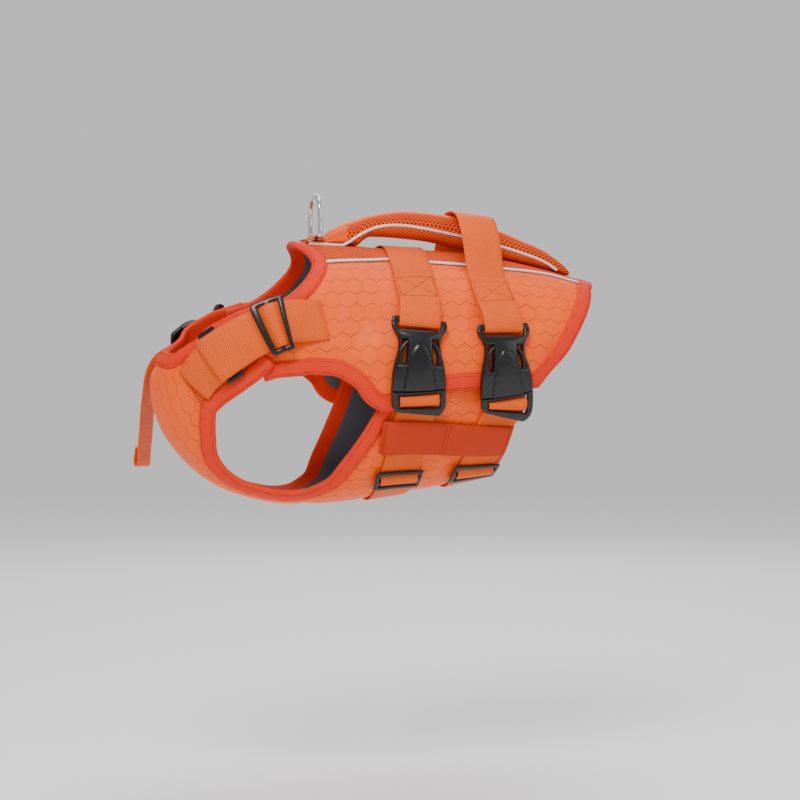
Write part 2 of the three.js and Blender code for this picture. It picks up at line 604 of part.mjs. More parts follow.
// Girth: a strap over the back, a strap under the belly, and between them a buckle on each side
const girths = [['front', FRONT_GIRTH], ['rear', REAR_GIRTH]];
girths.forEach(([place, list]) => {
  const line = girthLine(list);
  const top = line.reach(BUCKLE_TOP[place]);
  const under = line.reach(180);
  const end = [
    [top - 90, BACK_REST], [top - 72, 13], [top - 50, 14], [top - 25, 19.5], [top - 6, 26.6], [top + 1, 27.4],
    [top + 6, 27.4], [top + 10, 25.2], [top + 10.8, 22], [top + 9, 19.5], [top + 3, 18.7], [top - 8, 16],
    [top - 30, 12], [top - 50, BACK_REST], [top - 68, BACK_REST],
  ];
  const rise = LOOP_RISE.map(([deg, h]) => [line.reach(deg), h]);
  const half = place === 'rear' ? [...rise, ...end.slice(1)] : [[0, BACK_REST], ...end];
  const path = [...half.slice(1).reverse().map(([d, h]) => [-d, h]), ...half];
  addPart(`${place}_girth_strap`, 'webbing', ribbon(line, path));
  const slide = line.reach(BELLY_SLIDE[place]);
  const hang = [
    [top + 93, 20.5], [top + 93, 25], [top + 94.6, 27.7], [top + 98.7, 28.6], [top + 102.8, 27.7],
    [top + 104.6, 25], [top + 104.9, 22.5], [top + 106.8, 19.8], [top + 112, 18.4], [top + 119, 14.6],
    [top + 127, BELLY_REST + 0.6], ...throughSlide(slide, BELLY_REST), [under, BELLY_REST],
  ];
  const belly = [...hang, ...hang.slice(0, -1).reverse().map(([d, h]) => [2 * under - d, h])];
  addPart(`${place}_belly_strap`, 'webbing', ribbon(line, belly));
  SIDES.forEach(([name, sign]) => {
    addPart(`${place}_socket_${name}`, 'plastic', fitting(line, top, SOCKET_ROWS, openSocket, { sign }));
    addPart(`${place}_plug_${name}`, 'plastic', fitting(line, top, PLUG_ROWS, openPlug, { sign }));
    const flipAt = sign > 0 ? 0 : under;
    addPart(`${place}_belly_slide_${name}`, 'plastic',
      fitting(line, slide, slideOn(BELLY_REST, [BUCKLE_SLOT, SLIDE_WIDTH]), openSlide, { flipAt }));
  });
});
const KEEPER_WIDTH = 44;
const KEEPER_REST = BELLY_REST + WEBBING + 1.2;
SIDES.forEach(([name, sign]) => {
  const line = new Line(sign > 0 ? KEEPER_LINE : KEEPER_LINE.map(overFront));
  const length = line.reached.at(-1);
  const path = [[0, BELLY_REST], [4.5, KEEPER_REST], [length / 2, KEEPER_REST], [length, KEEPER_REST]];
  addPart(`keeper_band_${name}`, 'webbing', ribbon(line, path, KEEPER_WIDTH, 2));
});

// Shoulders: an adjuster and a loop on the left, a quick-release buckle and a hanging end on the right
const PAD_REST = WALL_OUT + OVERLAP_LIFT + BINDING_PROUD + 1.2 + WEBBING / 2;
const shoulder = new Line(SHOULDER_LINE);
const seamEnd = shoulder.reached.at(-1);
const adjust = shoulder.reach(SHOULDER_SLIDE);
const loop = shoulder.reach(SHOULDER_LOOP);
addPart('shoulder_strap_left', 'webbing', ribbon(shoulder, [
  [0, BELLY_REST], [12, 12], [adjust - 26, 18.5], ...throughSlide(adjust, PAD_REST),
  [adjust + 21, PAD_REST + 2.2], [adjust + 28, 28.4], [loop, 29.8], [loop + 8, 29.6], [loop + 14, 28.4],
  [loop + 16.4, 25], [loop + 14, 21.8], [loop + 8, 21.2], [loop + 3, 22.4],
], WEBBING_WIDTH, 2));
const WIDE_COLUMNS = [0, BUCKLE_SLOT, SLIDE_WIDTH];
addPart('shoulder_slide_left', 'plastic',
  fitting(shoulder, adjust, slideOn(PAD_REST, WIDE_COLUMNS), openWideSlide));
const LOOP_ROWS = [-12, -7, 7, 12].map((d) => ({ d, w: WIDE_COLUMNS, low: 22.8, high: 25.4 }));
const openLoop = (i, j) => i === 1 && (j === 1 || j === 2);
addPart('shoulder_loop_left', 'plastic', fitting(shoulder, loop, LOOP_ROWS, openLoop));
addPart('chest_strap_left', 'webbing', ribbon(shoulder, [
  [seamEnd, BELLY_REST], [seamEnd - 10, 12], [loop + 18, 17.4], [loop + 10, 19.1], [loop, 20.2],
  [loop - 8, 20.6], [loop - 13.5, 21.4], [loop - 15, 24], [loop - 13, 26.4], [loop - 9, 26.9], [loop - 4, 26.8],
], WEBBING_WIDTH, 2));

const farShoulder = new Line(SHOULDER_LINE.map(opposite));
const QUICK = { shrink: 0.72, raise: 2.2 };
const QUICK_TOP = 74;
const crossBar = QUICK_TOP + 98.7 * QUICK.shrink;
const quickEnd = QUICK_TOP + 116 * QUICK.shrink;
addPart('shoulder_strap_right', 'webbing', ribbon(farShoulder, [
  [0, BELLY_REST], [14, 12], [30, 18.5], [46, 22], [QUICK_TOP - 8, 28.8], [QUICK_TOP, 31],
  [QUICK_TOP + 4, 30.6], [QUICK_TOP + 7.8, 27.6], [QUICK_TOP + 8, 23.4], [QUICK_TOP + 6.2, 20.9],
  [QUICK_TOP, 20.4], [QUICK_TOP - 16, 20.2],
], WEBBING_WIDTH, 2));
addPart('shoulder_socket_right', 'plastic', fitting(farShoulder, QUICK_TOP, SOCKET_ROWS, openSocket, QUICK));
addPart('shoulder_plug_right', 'plastic', fitting(farShoulder, QUICK_TOP, PLUG_ROWS, openPlug, QUICK));
addPart('chest_strap_right', 'webbing', ribbon(farShoulder, [
  [crossBar - 4.1, 23.4], [crossBar - 4.2, 28], [crossBar - 3, 31.2], [crossBar, 31.9],
  [crossBar + 3.1, 31.2], [crossBar + 4.4, 28], [crossBar + 4.4, 23.8], [crossBar + 6, 20.8], [quickEnd, 19.9],
  [quickEnd + 8, 17.6], [seamEnd - 12, 13], [seamEnd, BELLY_REST],
], WEBBING_WIDTH, 2));

// The free end of the right shoulder strap turns away from the buckle and hangs down
const TAIL_PATH = [
  [-345, 121, -143], [-356, 125, -157], [-363, 126, -182], [-367, 125, -225], [-370, 124, -262],
  [-371, 122, -268],
];
const ALONG_BUCKLE = new THREE.Vector3(-0.52, -0.32, 0.79);
const HANGING = new THREE.Vector3(-0.56, -0.83, 0);
const tailAxis = (part) => ALONG_BUCKLE.clone().lerp(HANGING, smooth(0.05, 0.45, part)).normalize();
const tailPoints = [farShoulder.place(crossBar - 4, 0, 34.1), farShoulder.place(crossBar + 6, 0, 34.6),
  ...TAIL_PATH.map((p) => new THREE.Vector3(...p))];
addPart('strap_tail_right', 'webbing', spaceRibbon(tailPoints, tailAxis, WEBBING_WIDTH));

// Padded carrying handle: cross-sections along the spine, as [x, top]; under the arch it stands clear
const HANDLE_TOPS = [
  [-160, 22], [-150, 33], [-135, 41], [-120, 46.5], [-113, 48.5], [-108, 50.5], [-99, 53.3], [-80, 57.3],
  [-56, 60], [-16, 57.5], [10, 54.2], [37, 47.5], [60, 40], [78, 35], [105, 24], [131, 13], [150, 1],
  [160, -7],  [167, -15],
];
const ARCH = new Map([[-108, 21], [-99, 26], [-80, 26.5], [-56, 25], [-16, 20.5], [10, 14.5], [37, 9.5]]);
const surfaceUnder = (x, y, height) => {
  let [s, deg] = [(x + 196) / 396, 0];
  for (let i = 0; i < 12; i += 1) {
    const miss = skin(s, deg, height);
    s += (x - miss.x) / 400;
    deg += (miss.y - y) / 2.4;
  }
  return skin(s, deg, height).z;
};
const HANDLE_REST = WALL_OUT + 0.5;
const BOTTOM_SPOTS = [-1, -0.5, 0, 0.5, 1];
const handleRing = ([x, top]) => {
  const base = BOTTOM_SPOTS.map((f) => {
    const y = f * HANDLE_HALF_WIDTH;
    return [y, ARCH.get(x) ?? surfaceUnder(x, y, HANDLE_REST)];
  });
  const middle = mix(base[4][1], top, 0.5);
  const crown = [[0.94, 0.1], [0.5, 0.02], [0, 0], [-0.5, 0.02], [-0.94, 0.1]]
    .map(([f, drop]) => [f * HANDLE_HALF_WIDTH, top - drop * (top - base[4][1])]);
  return [...base, [HANDLE_HALF_WIDTH + 0.5, middle], ...crown, [-HANDLE_HALF_WIDTH - 0.5, middle]]
    .map(([y, z]) => new THREE.Vector3(x, y, z));
};
const loft = (rings, closed = false) => {
  const round = rings[0].length;
  const spots = rings.flat();
  const triangles = [];
  const last = rings.length - (closed ? 0 : 1);
  for (let i = 0; i < last; i += 1) {
    for (let j = 0; j < round; j += 1) {
      const [a, b] = [i * round + j, i * round + ((j + 1) % round)];
      const [c, d] = [a, b].map((id) => (id + round) % spots.length);
      triangles.push(a, b, d, a, d, c);
    }
  }
  if (!closed) {
    const base = spots.length - round;
    const middle = round / 2 - 1;
    const cap = (a, b, c) => triangles.push(a, c, b, base + a, base + b, base + c);
    cap(middle - 1, middle, middle + 1);
    for (let k = 1; k < middle; k += 1) {
      cap(middle - k - 1, middle - k, middle + k);
      cap(middle - k - 1, middle + k, middle + k + 1);
    }
    cap(0, round - 2, round - 1);
  }
  const volume = triangles.reduce((sum, unused, i) => (i % 3 ? sum : sum + spots[triangles[i]].dot(
    new THREE.Vector3().crossVectors(spots[triangles[i + 1]], spots[triangles[i + 2]]))), 0);
  const geometry = new THREE.BufferGeometry().setFromPoints(spots);
  geometry.setIndex(volume > 0 ? triangles : triangles.reverse());
  geometry.computeVertexNormals();
  return geometry;
};
addPart('handle', 'mesh', loft(HANDLE_TOPS.map(handleRing)));

// Piping along both sides of the handle
const PIPING_SIDES = 6;
const PIPING_Y = HANDLE_HALF_WIDTH + 2.3;
const PIPING_SPOTS = [
  [-159, 18.5], [-135, 22], [-95, 37], [-62, 41], [18, 28], [85, 12], [132, -4], [150, -15],
];
SIDES.forEach(([name, sign]) => {
  const points = PIPING_SPOTS.map(([x, z]) => new THREE.Vector3(x, -sign * PIPING_Y, z));
  const rings = spread(new THREE.CatmullRomCurve3(points, false, 'centripetal')).map(({ spot, run }) => (
    Array.from({ length: PIPING_SIDES }, (unused, k) => {
      const turn = (k / PIPING_SIDES) * Math.PI * 2;
      const up = new THREE.Vector3(-run.z, 0, run.x);
      return spot.clone().addScaledVector(up, Math.cos(turn) * HANDLE_PIPING / 2)
        .add(new THREE.Vector3(0, Math.sin(turn) * HANDLE_PIPING / 2, 0));
    })));
  addPart(`handle_piping_${name}`, 'piping', loft(rings));
});

// Webbing tab round the bar of the leash ring, and the ring itself with its straight bar at the bottom
const TAB_REST = WALL_OUT + 0.35 + WEBBING / 2;
const TAB_PATH = [
  ...[-184, -176, -169].map((x) => [x, surfaceUnder(x, 0, TAB_REST)]), [-164.8, 19.8], [-163.5, 23],
  [-164.8, 26.2], [-168, 27.6], [-171.6, 26.2], [-174.4, 23.4], [-179, 21.7], [-184, 21.7],
];
const TAB_POINTS = TAB_PATH.map(([x, z]) => new THREE.Vector3(x, 0, z));
addPart('ring_tab', 'webbing', spaceRibbon(TAB_POINTS, () => new THREE.Vector3(0, 1, 0), TAB_WIDTH));
const RING_SIDES = 8;
const RING_CORNER = 6;
const RING_LEG = 30;
const ringOutline = (() => {
  const path = new THREE.Path();
  const low = RING_Z;
  const crown = RING_Z + RING_HEIGHT - RING_WIRE / 2;
  path.moveTo(0, low);
  path.lineTo(RING_HALF_SPAN - RING_CORNER, low);
  path.quadraticCurveTo(RING_HALF_SPAN, low, RING_HALF_SPAN, low + RING_CORNER);
  path.lineTo(RING_HALF_SPAN, low + RING_LEG);
  path.bezierCurveTo(RING_HALF_SPAN, crown - 8, 16, crown, 0, crown);
  const half = path.getPoints(6).filter((p, i, all) => i === 0 || p.distanceTo(all[i - 1]) > 0.5);
  return [...half, ...half.slice(1, -1).reverse().map((p) => new THREE.Vector2(-p.x, p.y))];
})();
const ringRings = ringOutline.map((p, i, all) => {
  const ahead = all[(i + 1) % all.length];
  const behind = all[(i + all.length - 1) % all.length];
  const run = ahead.clone().sub(behind).normalize();
  return Array.from({ length: RING_SIDES }, (unused, k) => {
    const turn = ((k + 0.5) / RING_SIDES) * Math.PI * 2;
    const out = Math.cos(turn) * RING_WIRE / 2;
    return new THREE.Vector3(RING_X + Math.sin(turn) * RING_WIRE / 2, p.x + run.y * out, p.y - run.x * out);
  });
});
addPart('d_ring', 'steel', loft(ringRings, true));

export default jacket;
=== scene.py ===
"""Dog life jacket: cloth, bindings, webbing, buckles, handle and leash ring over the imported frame.

Sizes are in millimetres in the object's own frame, and meshes are made in metres. Cloth places are given
as s, how far back a slanted oval section lies, and as degrees round that section from the spine.
"""
import logging
import math
from dataclasses import dataclass, field
from enum import Enum
from typing import Callable, Iterable, Sequence

import bpy
import numpy as np
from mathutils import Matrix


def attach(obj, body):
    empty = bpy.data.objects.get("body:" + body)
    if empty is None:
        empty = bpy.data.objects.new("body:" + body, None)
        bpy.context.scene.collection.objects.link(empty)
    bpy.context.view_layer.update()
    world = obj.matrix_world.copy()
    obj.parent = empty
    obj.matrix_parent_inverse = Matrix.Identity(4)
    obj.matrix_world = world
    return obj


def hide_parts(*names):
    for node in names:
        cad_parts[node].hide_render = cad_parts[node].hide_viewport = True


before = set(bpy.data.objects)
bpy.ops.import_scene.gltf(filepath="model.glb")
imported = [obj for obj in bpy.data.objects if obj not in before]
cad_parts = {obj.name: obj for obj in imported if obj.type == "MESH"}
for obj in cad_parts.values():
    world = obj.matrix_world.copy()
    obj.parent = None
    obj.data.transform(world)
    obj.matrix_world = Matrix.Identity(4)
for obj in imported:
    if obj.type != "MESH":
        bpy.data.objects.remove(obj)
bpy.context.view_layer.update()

MM = 0.001
LOG = logging.getLogger("jacket")
Array = np.ndarray
Path = Sequence[tuple[float, float]]

WALL_OUT = 8.0
WALL_IN = 1.5
OVERLAP_LIFT = 9.8
BINDING_WIDTH = 18.0
WEBBING_WIDTH = 50.0
WEBBING = 1.8
BACK_REST = 10.9
BELLY_REST = 10.7
PAD_REST = 20.5


class Side(Enum):
    """The two sides of the jacket: the left one faces -Y."""

    LEFT = 1
    RIGHT = -1

    @property
    def word(self) -> str:
        """The side's name in lower case."""
        return self.name.lower()


class Slot(Enum):
    """The record's material slots."""

    HEX_CLOTH = "hex_cloth"
    MESH = "mesh"
    TAPE = "tape"
    WEBBING = "webbing"
    PIPING = "piping"
    LINING = "lining"
    PLASTIC = "plastic"
    STEEL = "steel"


def smooth_step(low: float, high: float, value: Array) -> Array:
    """A soft ramp from 0 at low to 1 at high.

    Args:
        low: where the ramp starts.
        high: where it ends.
        value: the values to look up.

    Returns:
        The ramp's values.
    """
    f = np.clip((np.asarray(value, float) - low) / (high - low), 0, 1)
    return f * f * (3 - 2 * f)


def smooth_curve(points: Sequence[Sequence[float]], count: int, scale: Sequence[float] | None = None) -> Array:
    """Evenly spaced points on a smooth curve through a few given ones.

    Args:
        points: the points that the curve goes through.
        count: how many steps the result has.
        scale: what each coordinate is multiplied by when lengths are measured.

    Returns:
        An array of count + 1 points.
    """
    p = np.asarray(points, float)
    factor = np.ones(p.shape[1]) if scale is None else np.asarray(scale, float)
    p = p * factor
    q = np.vstack([2 * p[0] - p[1], p, 2 * p[-1] - p[-2]])
    t = np.linspace(0, 1, 31)[1:, None]
    dense = [p[:1]]
    for a, b, c, d in zip(q, q[1:], q[2:], q[3:]):
        k = [math.sqrt(max(float(np.linalg.norm(v)), 1e-9)) for v in (b - a, c - b, d - c)]
        leave = ((b - a) / k[0] - (c - a) / (k[0] + k[1]) + (c - b) / k[1]) * k[1]
        reach = ((c - b) / k[1] - (d - b) / (k[1] + k[2]) + (d - c) / k[2]) * k[1]
        dense.append((2 * t**3 - 3 * t**2 + 1) * b + (t**3 - 2 * t**2 + t) * leave
                     + (3 * t**2 - 2 * t**3) * c + (t**3 - t**2) * reach)
    line = np.vstack(dense)
    run = np.concatenate([[0], np.cumsum(np.linalg.norm(np.diff(line, axis=0), axis=1))])
    at = np.linspace(0, run[-1], count + 1)
    return np.stack([np.interp(at, run, line[:, k]) for k in range(p.shape[1])], 1) / factor


def chart_curve(points: Path, count: int) -> Array:
    """Evenly spaced places on a smooth curve over the form, given as s and degrees."""
    return smooth_curve(points, count, (600.0, 2.5))


@dataclass(frozen=True)
class WornForm:
    """The inside of the garment as it is worn: slanted ovals between the spine and the underside.

    Each station holds s, then x and z on the spine, x and z under the body, and the half width.
    """

    keel: float = 0.1
    stations: tuple[tuple[float, ...], ...] = (
        (0.00, -196, 11, -356, -118, 72),
        (0.08, -172, 9, -372, -165, 86),
        (0.16, -148, 8, -352, -225, 98),
        (0.24, -124, 7, -301, -277, 107),
        (0.32, -99, 5, -228, -303, 113),
        (0.40, -74, 4, -148, -305, 117),
        (0.48, -50, 3, -78, -296, 119),
        (0.61, 10, 0, -12, -287, 119),
        (0.74, 70, -8, 50, -275, 116),
        (0.87, 132, -21, 114, -262, 111),
        (1.00, 200, -39, 180, -250, 104),
    )

    def section(self, s: Array) -> Array:
        """The oval's five numbers at s, by a cubic through the stations."""
        table = np.asarray(self.stations, float)
        knots = table[:, 0]
        rates = np.diff(table[:, 1:], axis=0) / np.diff(knots)[:, None]
        gaps = np.diff(knots)[:, None]
        inner = (rates[1:] * gaps[:-1] + rates[:-1] * gaps[1:]) / (gaps[:-1] + gaps[1:])
        slopes = np.vstack([rates[0], inner, rates[-1]])
        i = np.clip(np.searchsorted(knots, s) - 1, 0, len(knots) - 2)
        span = (knots[i + 1] - knots[i])[..., None]
        u = (np.asarray(s) - knots[i])[..., None] / span
        return ((2 * u**3 - 3 * u**2 + 1) * table[i, 1:] + (u**3 - 2 * u**2 + u) * slopes[i] * span
                + (3 * u**2 - 2 * u**3) * table[i + 1, 1:] + (u**3 - u**2) * slopes[i + 1] * span)

    def point(self, s: Array, deg: Array) -> Array:
        """Places on the inside of the garment."""
        s, deg = np.broadcast_arrays(np.asarray(s, float), np.asarray(deg, float))
        turn = np.radians(deg)
        row = self.section(s)
        f = (1 + np.cos(turn)) / 2
        x = row[..., 2] + (row[..., 0] - row[..., 2]) * f
        z = row[..., 3] + (row[..., 1] - row[..., 3]) * f
        y = -row[..., 4] * np.sin(turn) * (1 + self.keel * np.cos(turn))
        return np.stack([x, y, z], -1)

    def slopes(self, s: Array, deg: Array) -> tuple[Array, Array]:
        """How a place moves with s and with degrees."""
        s, deg = np.broadcast_arrays(np.asarray(s, float), np.asarray(deg, float))
        along = (self.point(s + 1e-4, deg) - self.point(s - 1e-4, deg)) / 2e-4
        around = (self.point(s, deg + 0.01) - self.point(s, deg - 0.01)) / 0.02
        return along, around

    def normal(self, s: Array, deg: Array) -> Array:
        """The direction out of the garment."""
        along, around = self.slopes(s, deg)
        n = np.cross(around, along)
        return n / np.linalg.norm(n, axis=-1, keepdims=True)

    def skin(self, s: Array, deg: Array, height: Array) -> Array:
        """Places some height outside the form."""
        return self.point(s, deg) + self.normal(s, deg) * np.asarray(height, float)[..., None]

    def walk(self, s: Array, deg: Array, direction: Array, distance: Array) -> tuple[Array, Array]:
        """Steps over the form.

        Args:
            s, deg: where the steps start.
            direction: the way to go, in space.
            distance: how far, in millimetres.

        Returns:
            The new s and degrees.
        """
        s, deg = np.asarray(s, float), np.asarray(deg, float)
        steps = 3
        for _ in range(steps):
            a, b = self.slopes(s, deg)
            aa, ab, bb = (a * a).sum(-1), (a * b).sum(-1), (b * b).sum(-1)
            ad, bd = (a * direction).sum(-1), (b * direction).sum(-1)
            scale = distance / steps / (aa * bb - ab * ab)
            s = s + (ad * bb - bd * ab) * scale
            deg = deg + (bd * aa - ad * ab) * scale
        return s, deg


FORM = WornForm()


def fold_angle(deg: Array) -> Array:
    """Degrees from the spine on either side."""
    return np.abs((np.asarray(deg) + 180) % 360 - 180)


def saddle_lift(s: Array, deg: Array) -> Array:
    """How far the saddle's lower edge rides up over the belly flap."""
    return (OVERLAP_LIFT * smooth_step(62, 78, fold_angle(deg)) * smooth_step(0.32, 0.375, s)
            * (1 - smooth_step(0.79, 0.86, s)))


def pad_lift(s: Array, deg: Array) -> Array:
    """How far the shoulder pads ride up over the saddle's tongues."""
    return OVERLAP_LIFT * (1 - smooth_step(111, 127, fold_angle(deg))) * (np.asarray(s) < 0.3)


def cloth_map(points: Array) -> Array:
    """Flat cloth coordinates: how far along the body, and how far round it from the spine.

    Args:
        points: places in millimetres.

    Returns:
        The two coordinates in metres.
    """
    angles = np.linspace(0, math.pi, 200)
    ring = np.stack([119 * np.sin(angles), 150 * np.cos(angles)], 1)
    run = np.concatenate([[0], np.cumsum(np.linalg.norm(np.diff(ring, axis=0), axis=1))])
    turn = np.arctan2(np.abs(points[:, 1]) / 119, (points[:, 2] + 147) / 150)
    return np.stack([points[:, 0], np.interp(turn, angles, run)], 1) * MM


def chart_map(s: Array, deg: Array) -> Array:
    """Flat cloth coordinates under the body, where the cloth turns down over the chest.

    Args:
        s: how far back each place is.
        deg: degrees round from the spine.

    Returns:
        The two coordinates in metres.
    """
    knots = np.linspace(0, 1, 101)
    keel = FORM.point(knots, np.full(101, 150.0))
    run = np.concatenate([[0], np.cumsum(np.linalg.norm(np.diff(keel, axis=0), axis=1))])
    turns = np.linspace(0, 180, 91)
    hoop = FORM.point(np.full(91, 0.3), turns)
    girth = np.concatenate([[0], np.cumsum(np.linalg.norm(np.diff(hoop, axis=0), axis=1))])
    return np.stack([np.interp(s, knots, run), np.interp(fold_angle(deg), turns, girth)], -1) * MM


class Nodes:
    """A short way to add shader nodes to one tree and join them."""

    def __init__(self, tree: bpy.types.NodeTree) -> None:
        """Keeps the tree."""
        self.tree = tree

    def add(self, kind: str, **settings: object) -> bpy.types.Node:
        """Adds one node and sets its options."""
        node = self.tree.nodes.new(kind)
        for name, value in settings.items():
            setattr(node, name, value)
        return node

    def feed(self, socket: bpy.types.NodeSocket, source: object) -> None:
        """Links a socket, or sets its value."""
        if isinstance(source, bpy.types.NodeSocket):
            self.tree.links.new(source, socket)
        elif source is not None:
            socket.default_value = source

    def math(self, operation: str, *inputs: object, clamp: bool = False) -> bpy.types.NodeSocket:
        """One Math node."""
        node = self.add("ShaderNodeMath", operation=operation, use_clamp=clamp)
        for socket, source in zip(node.inputs, inputs):
            self.feed(socket, source)
        return node.outputs[0]

    def vector(self, operation: str, *inputs: object) -> bpy.types.NodeSocket:
        """One Vector Math node, with its vector result."""
        node = self.add("ShaderNodeVectorMath", operation=operation)
        for socket, source in zip(node.inputs, inputs):
            self.feed(socket, source)
        return node.outputs["Value" if operation == "LENGTH" else "Vector"]

    def mix(self, factor: object, first: object, second: object) -> bpy.types.NodeSocket:
        """A mix of two colours."""
        node = self.add("ShaderNodeMix", data_type="RGBA")
        for index, source in ((0, factor), (6, first), (7, second)):
            self.feed(node.inputs[index], source)
        return node.outputs[2]

    def ramp(self, value: object, low: float, high: float) -> bpy.types.NodeSocket:
        """A soft ramp from 0 at low to 1 at high."""
        node = self.add("ShaderNodeMapRange", interpolation_type="SMOOTHSTEP")
        for index, source in ((0, value), (1, low), (2, high), (3, 0.0), (4, 1.0)):
            self.feed(node.inputs[index], source)
        return node.outputs[0]

    def split(self, vector: bpy.types.NodeSocket) -> tuple[bpy.types.NodeSocket, bpy.types.NodeSocket]:
        """The first two parts of a vector."""
        node = self.add("ShaderNodeSeparateXYZ")
        self.feed(node.inputs[0], vector)
        return node.outputs[0], node.outputs[1]

    def noise(self, vector: object, scale: float, detail: float = 3.0) -> bpy.types.NodeSocket:
        """Noise of some scale, in features a metre."""
        node = self.add("ShaderNodeTexNoise")
        self.feed(node.inputs["Vector"], vector)
        node.inputs["Scale"].default_value = scale
        node.inputs["Detail"].default_value = detail
        return node.outputs[0]


class Pattern(Enum):
    """The shader groups that more than one material uses."""

    HEXAGONS = "hexagon_print"
    WEAVE = "plain_weave"
    KNIT = "open_knit"
    GRAIN = "colour_grain"


def pattern_group(pattern: Pattern) -> bpy.types.NodeTree:
    """Makes or finds the shader group of a pattern.

    Args:
        pattern: which one.

    Returns:
        Its node tree.
    """
    if pattern.value in bpy.data.node_groups:
        return bpy.data.node_groups[pattern.value]
    tree = bpy.data.node_groups.new(pattern.value, "ShaderNodeTree")
    face = tree.interface
    face.new_socket("Place", in_out="INPUT", socket_type="NodeSocketVector")
    face.new_socket("Pitch", in_out="INPUT", socket_type="NodeSocketFloat")
    for name in ("Mask", "Height"):
        face.new_socket(name, in_out="OUTPUT", socket_type="NodeSocketFloat")
    n = Nodes(tree)
    source = n.add("NodeGroupInput")
    sink = n.add("NodeGroupOutput")
    place, pitch = source.outputs["Place"], source.outputs["Pitch"]
    scaled = n.add("ShaderNodeVectorMath", operation="SCALE")
    n.feed(scaled.inputs[0], place)
    n.feed(scaled.inputs["Scale"], n.math("DIVIDE", 1.0, pitch))
    unit = scaled.outputs["Vector"]
    if pattern is Pattern.HEXAGONS:
        period = (1.0, math.sqrt(3.0), 1.0)
        half = (0.5, math.sqrt(3.0) / 2, 0.5)
        minus = tuple(-v for v in half)
        flat = n.vector("MULTIPLY", unit, (1.0, 1.0, 0.0))
        one = n.vector("WRAP", flat, half, minus)
        two = n.vector("WRAP", n.vector("ADD", flat, (half[0], half[1], 0.0)), half, minus)
        near = n.math("LESS_THAN", n.vector("LENGTH", one), n.vector("LENGTH", two))
        x1, y1 = n.split(one)
        x2, y2 = n.split(two)
        x = n.math("ABSOLUTE", n.math("ADD", n.math("MULTIPLY", x1, near),
                                      n.math("MULTIPLY", x2, n.math("SUBTRACT", 1.0, near))))
        y = n.math("ABSOLUTE", n.math("ADD", n.math("MULTIPLY", y1, near),
                                      n.math("MULTIPLY", y2, n.math("SUBTRACT", 1.0, near))))
        slant = n.math("ADD", n.math("MULTIPLY", x, 0.5), n.math("MULTIPLY", y, math.sqrt(0.75)))
        zigzag = n.ramp(slant, 0.462, 0.492)
        upright = n.ramp(x, 0.47, 0.495)
        n.feed(sink.inputs["Mask"], zigzag)
        n.feed(sink.inputs["Height"], upright)
    elif pattern is Pattern.WEAVE:
        u, v = n.split(unit)
        warp = n.math("SINE", n.math("MULTIPLY", u, 2 * math.pi))
        weft = n.math("SINE", n.math("MULTIPLY", v, 2 * math.pi))
        cross = n.math("MULTIPLY", warp, weft)
        rib = n.math("MULTIPLY", n.math("COSINE", n.math("MULTIPLY", v, 4 * math.pi)), 0.35)
        height = n.math("ADD", n.math("ADD", n.math("MULTIPLY", cross, 0.5), rib), 0.5)
        n.feed(sink.inputs["Mask"], n.ramp(height, 0.1, 0.75))
        n.feed(sink.inputs["Height"], height)
    elif pattern is Pattern.KNIT:
        flat = n.vector("MULTIPLY", unit, (1.0, 1.0, 0.0))
        half, minus = (0.5, 0.5, 0.5), (-0.5, -0.5, -0.5)
        one = n.vector("LENGTH", n.vector("MULTIPLY", n.vector("WRAP", flat, half, minus), (1.0, 1.5, 0.0)))
        moved = n.vector("ADD", flat, (0.5, 0.5, 0.0))
        two = n.vector("LENGTH", n.vector("MULTIPLY", n.vector("WRAP", moved, half, minus), (1.0, 1.5, 0.0)))
        dist = n.math("MINIMUM", one, two)
        n.feed(sink.inputs["Mask"], n.ramp(dist, 0.22, 0.36))
        n.feed(sink.inputs["Height"], n.ramp(dist, 0.12, 0.42))
    else:
        n.feed(sink.inputs["Mask"], n.noise(unit, 1.0, 4.0))
        n.feed(sink.inputs["Height"], n.noise(unit, 4.0, 2.0))
    return tree


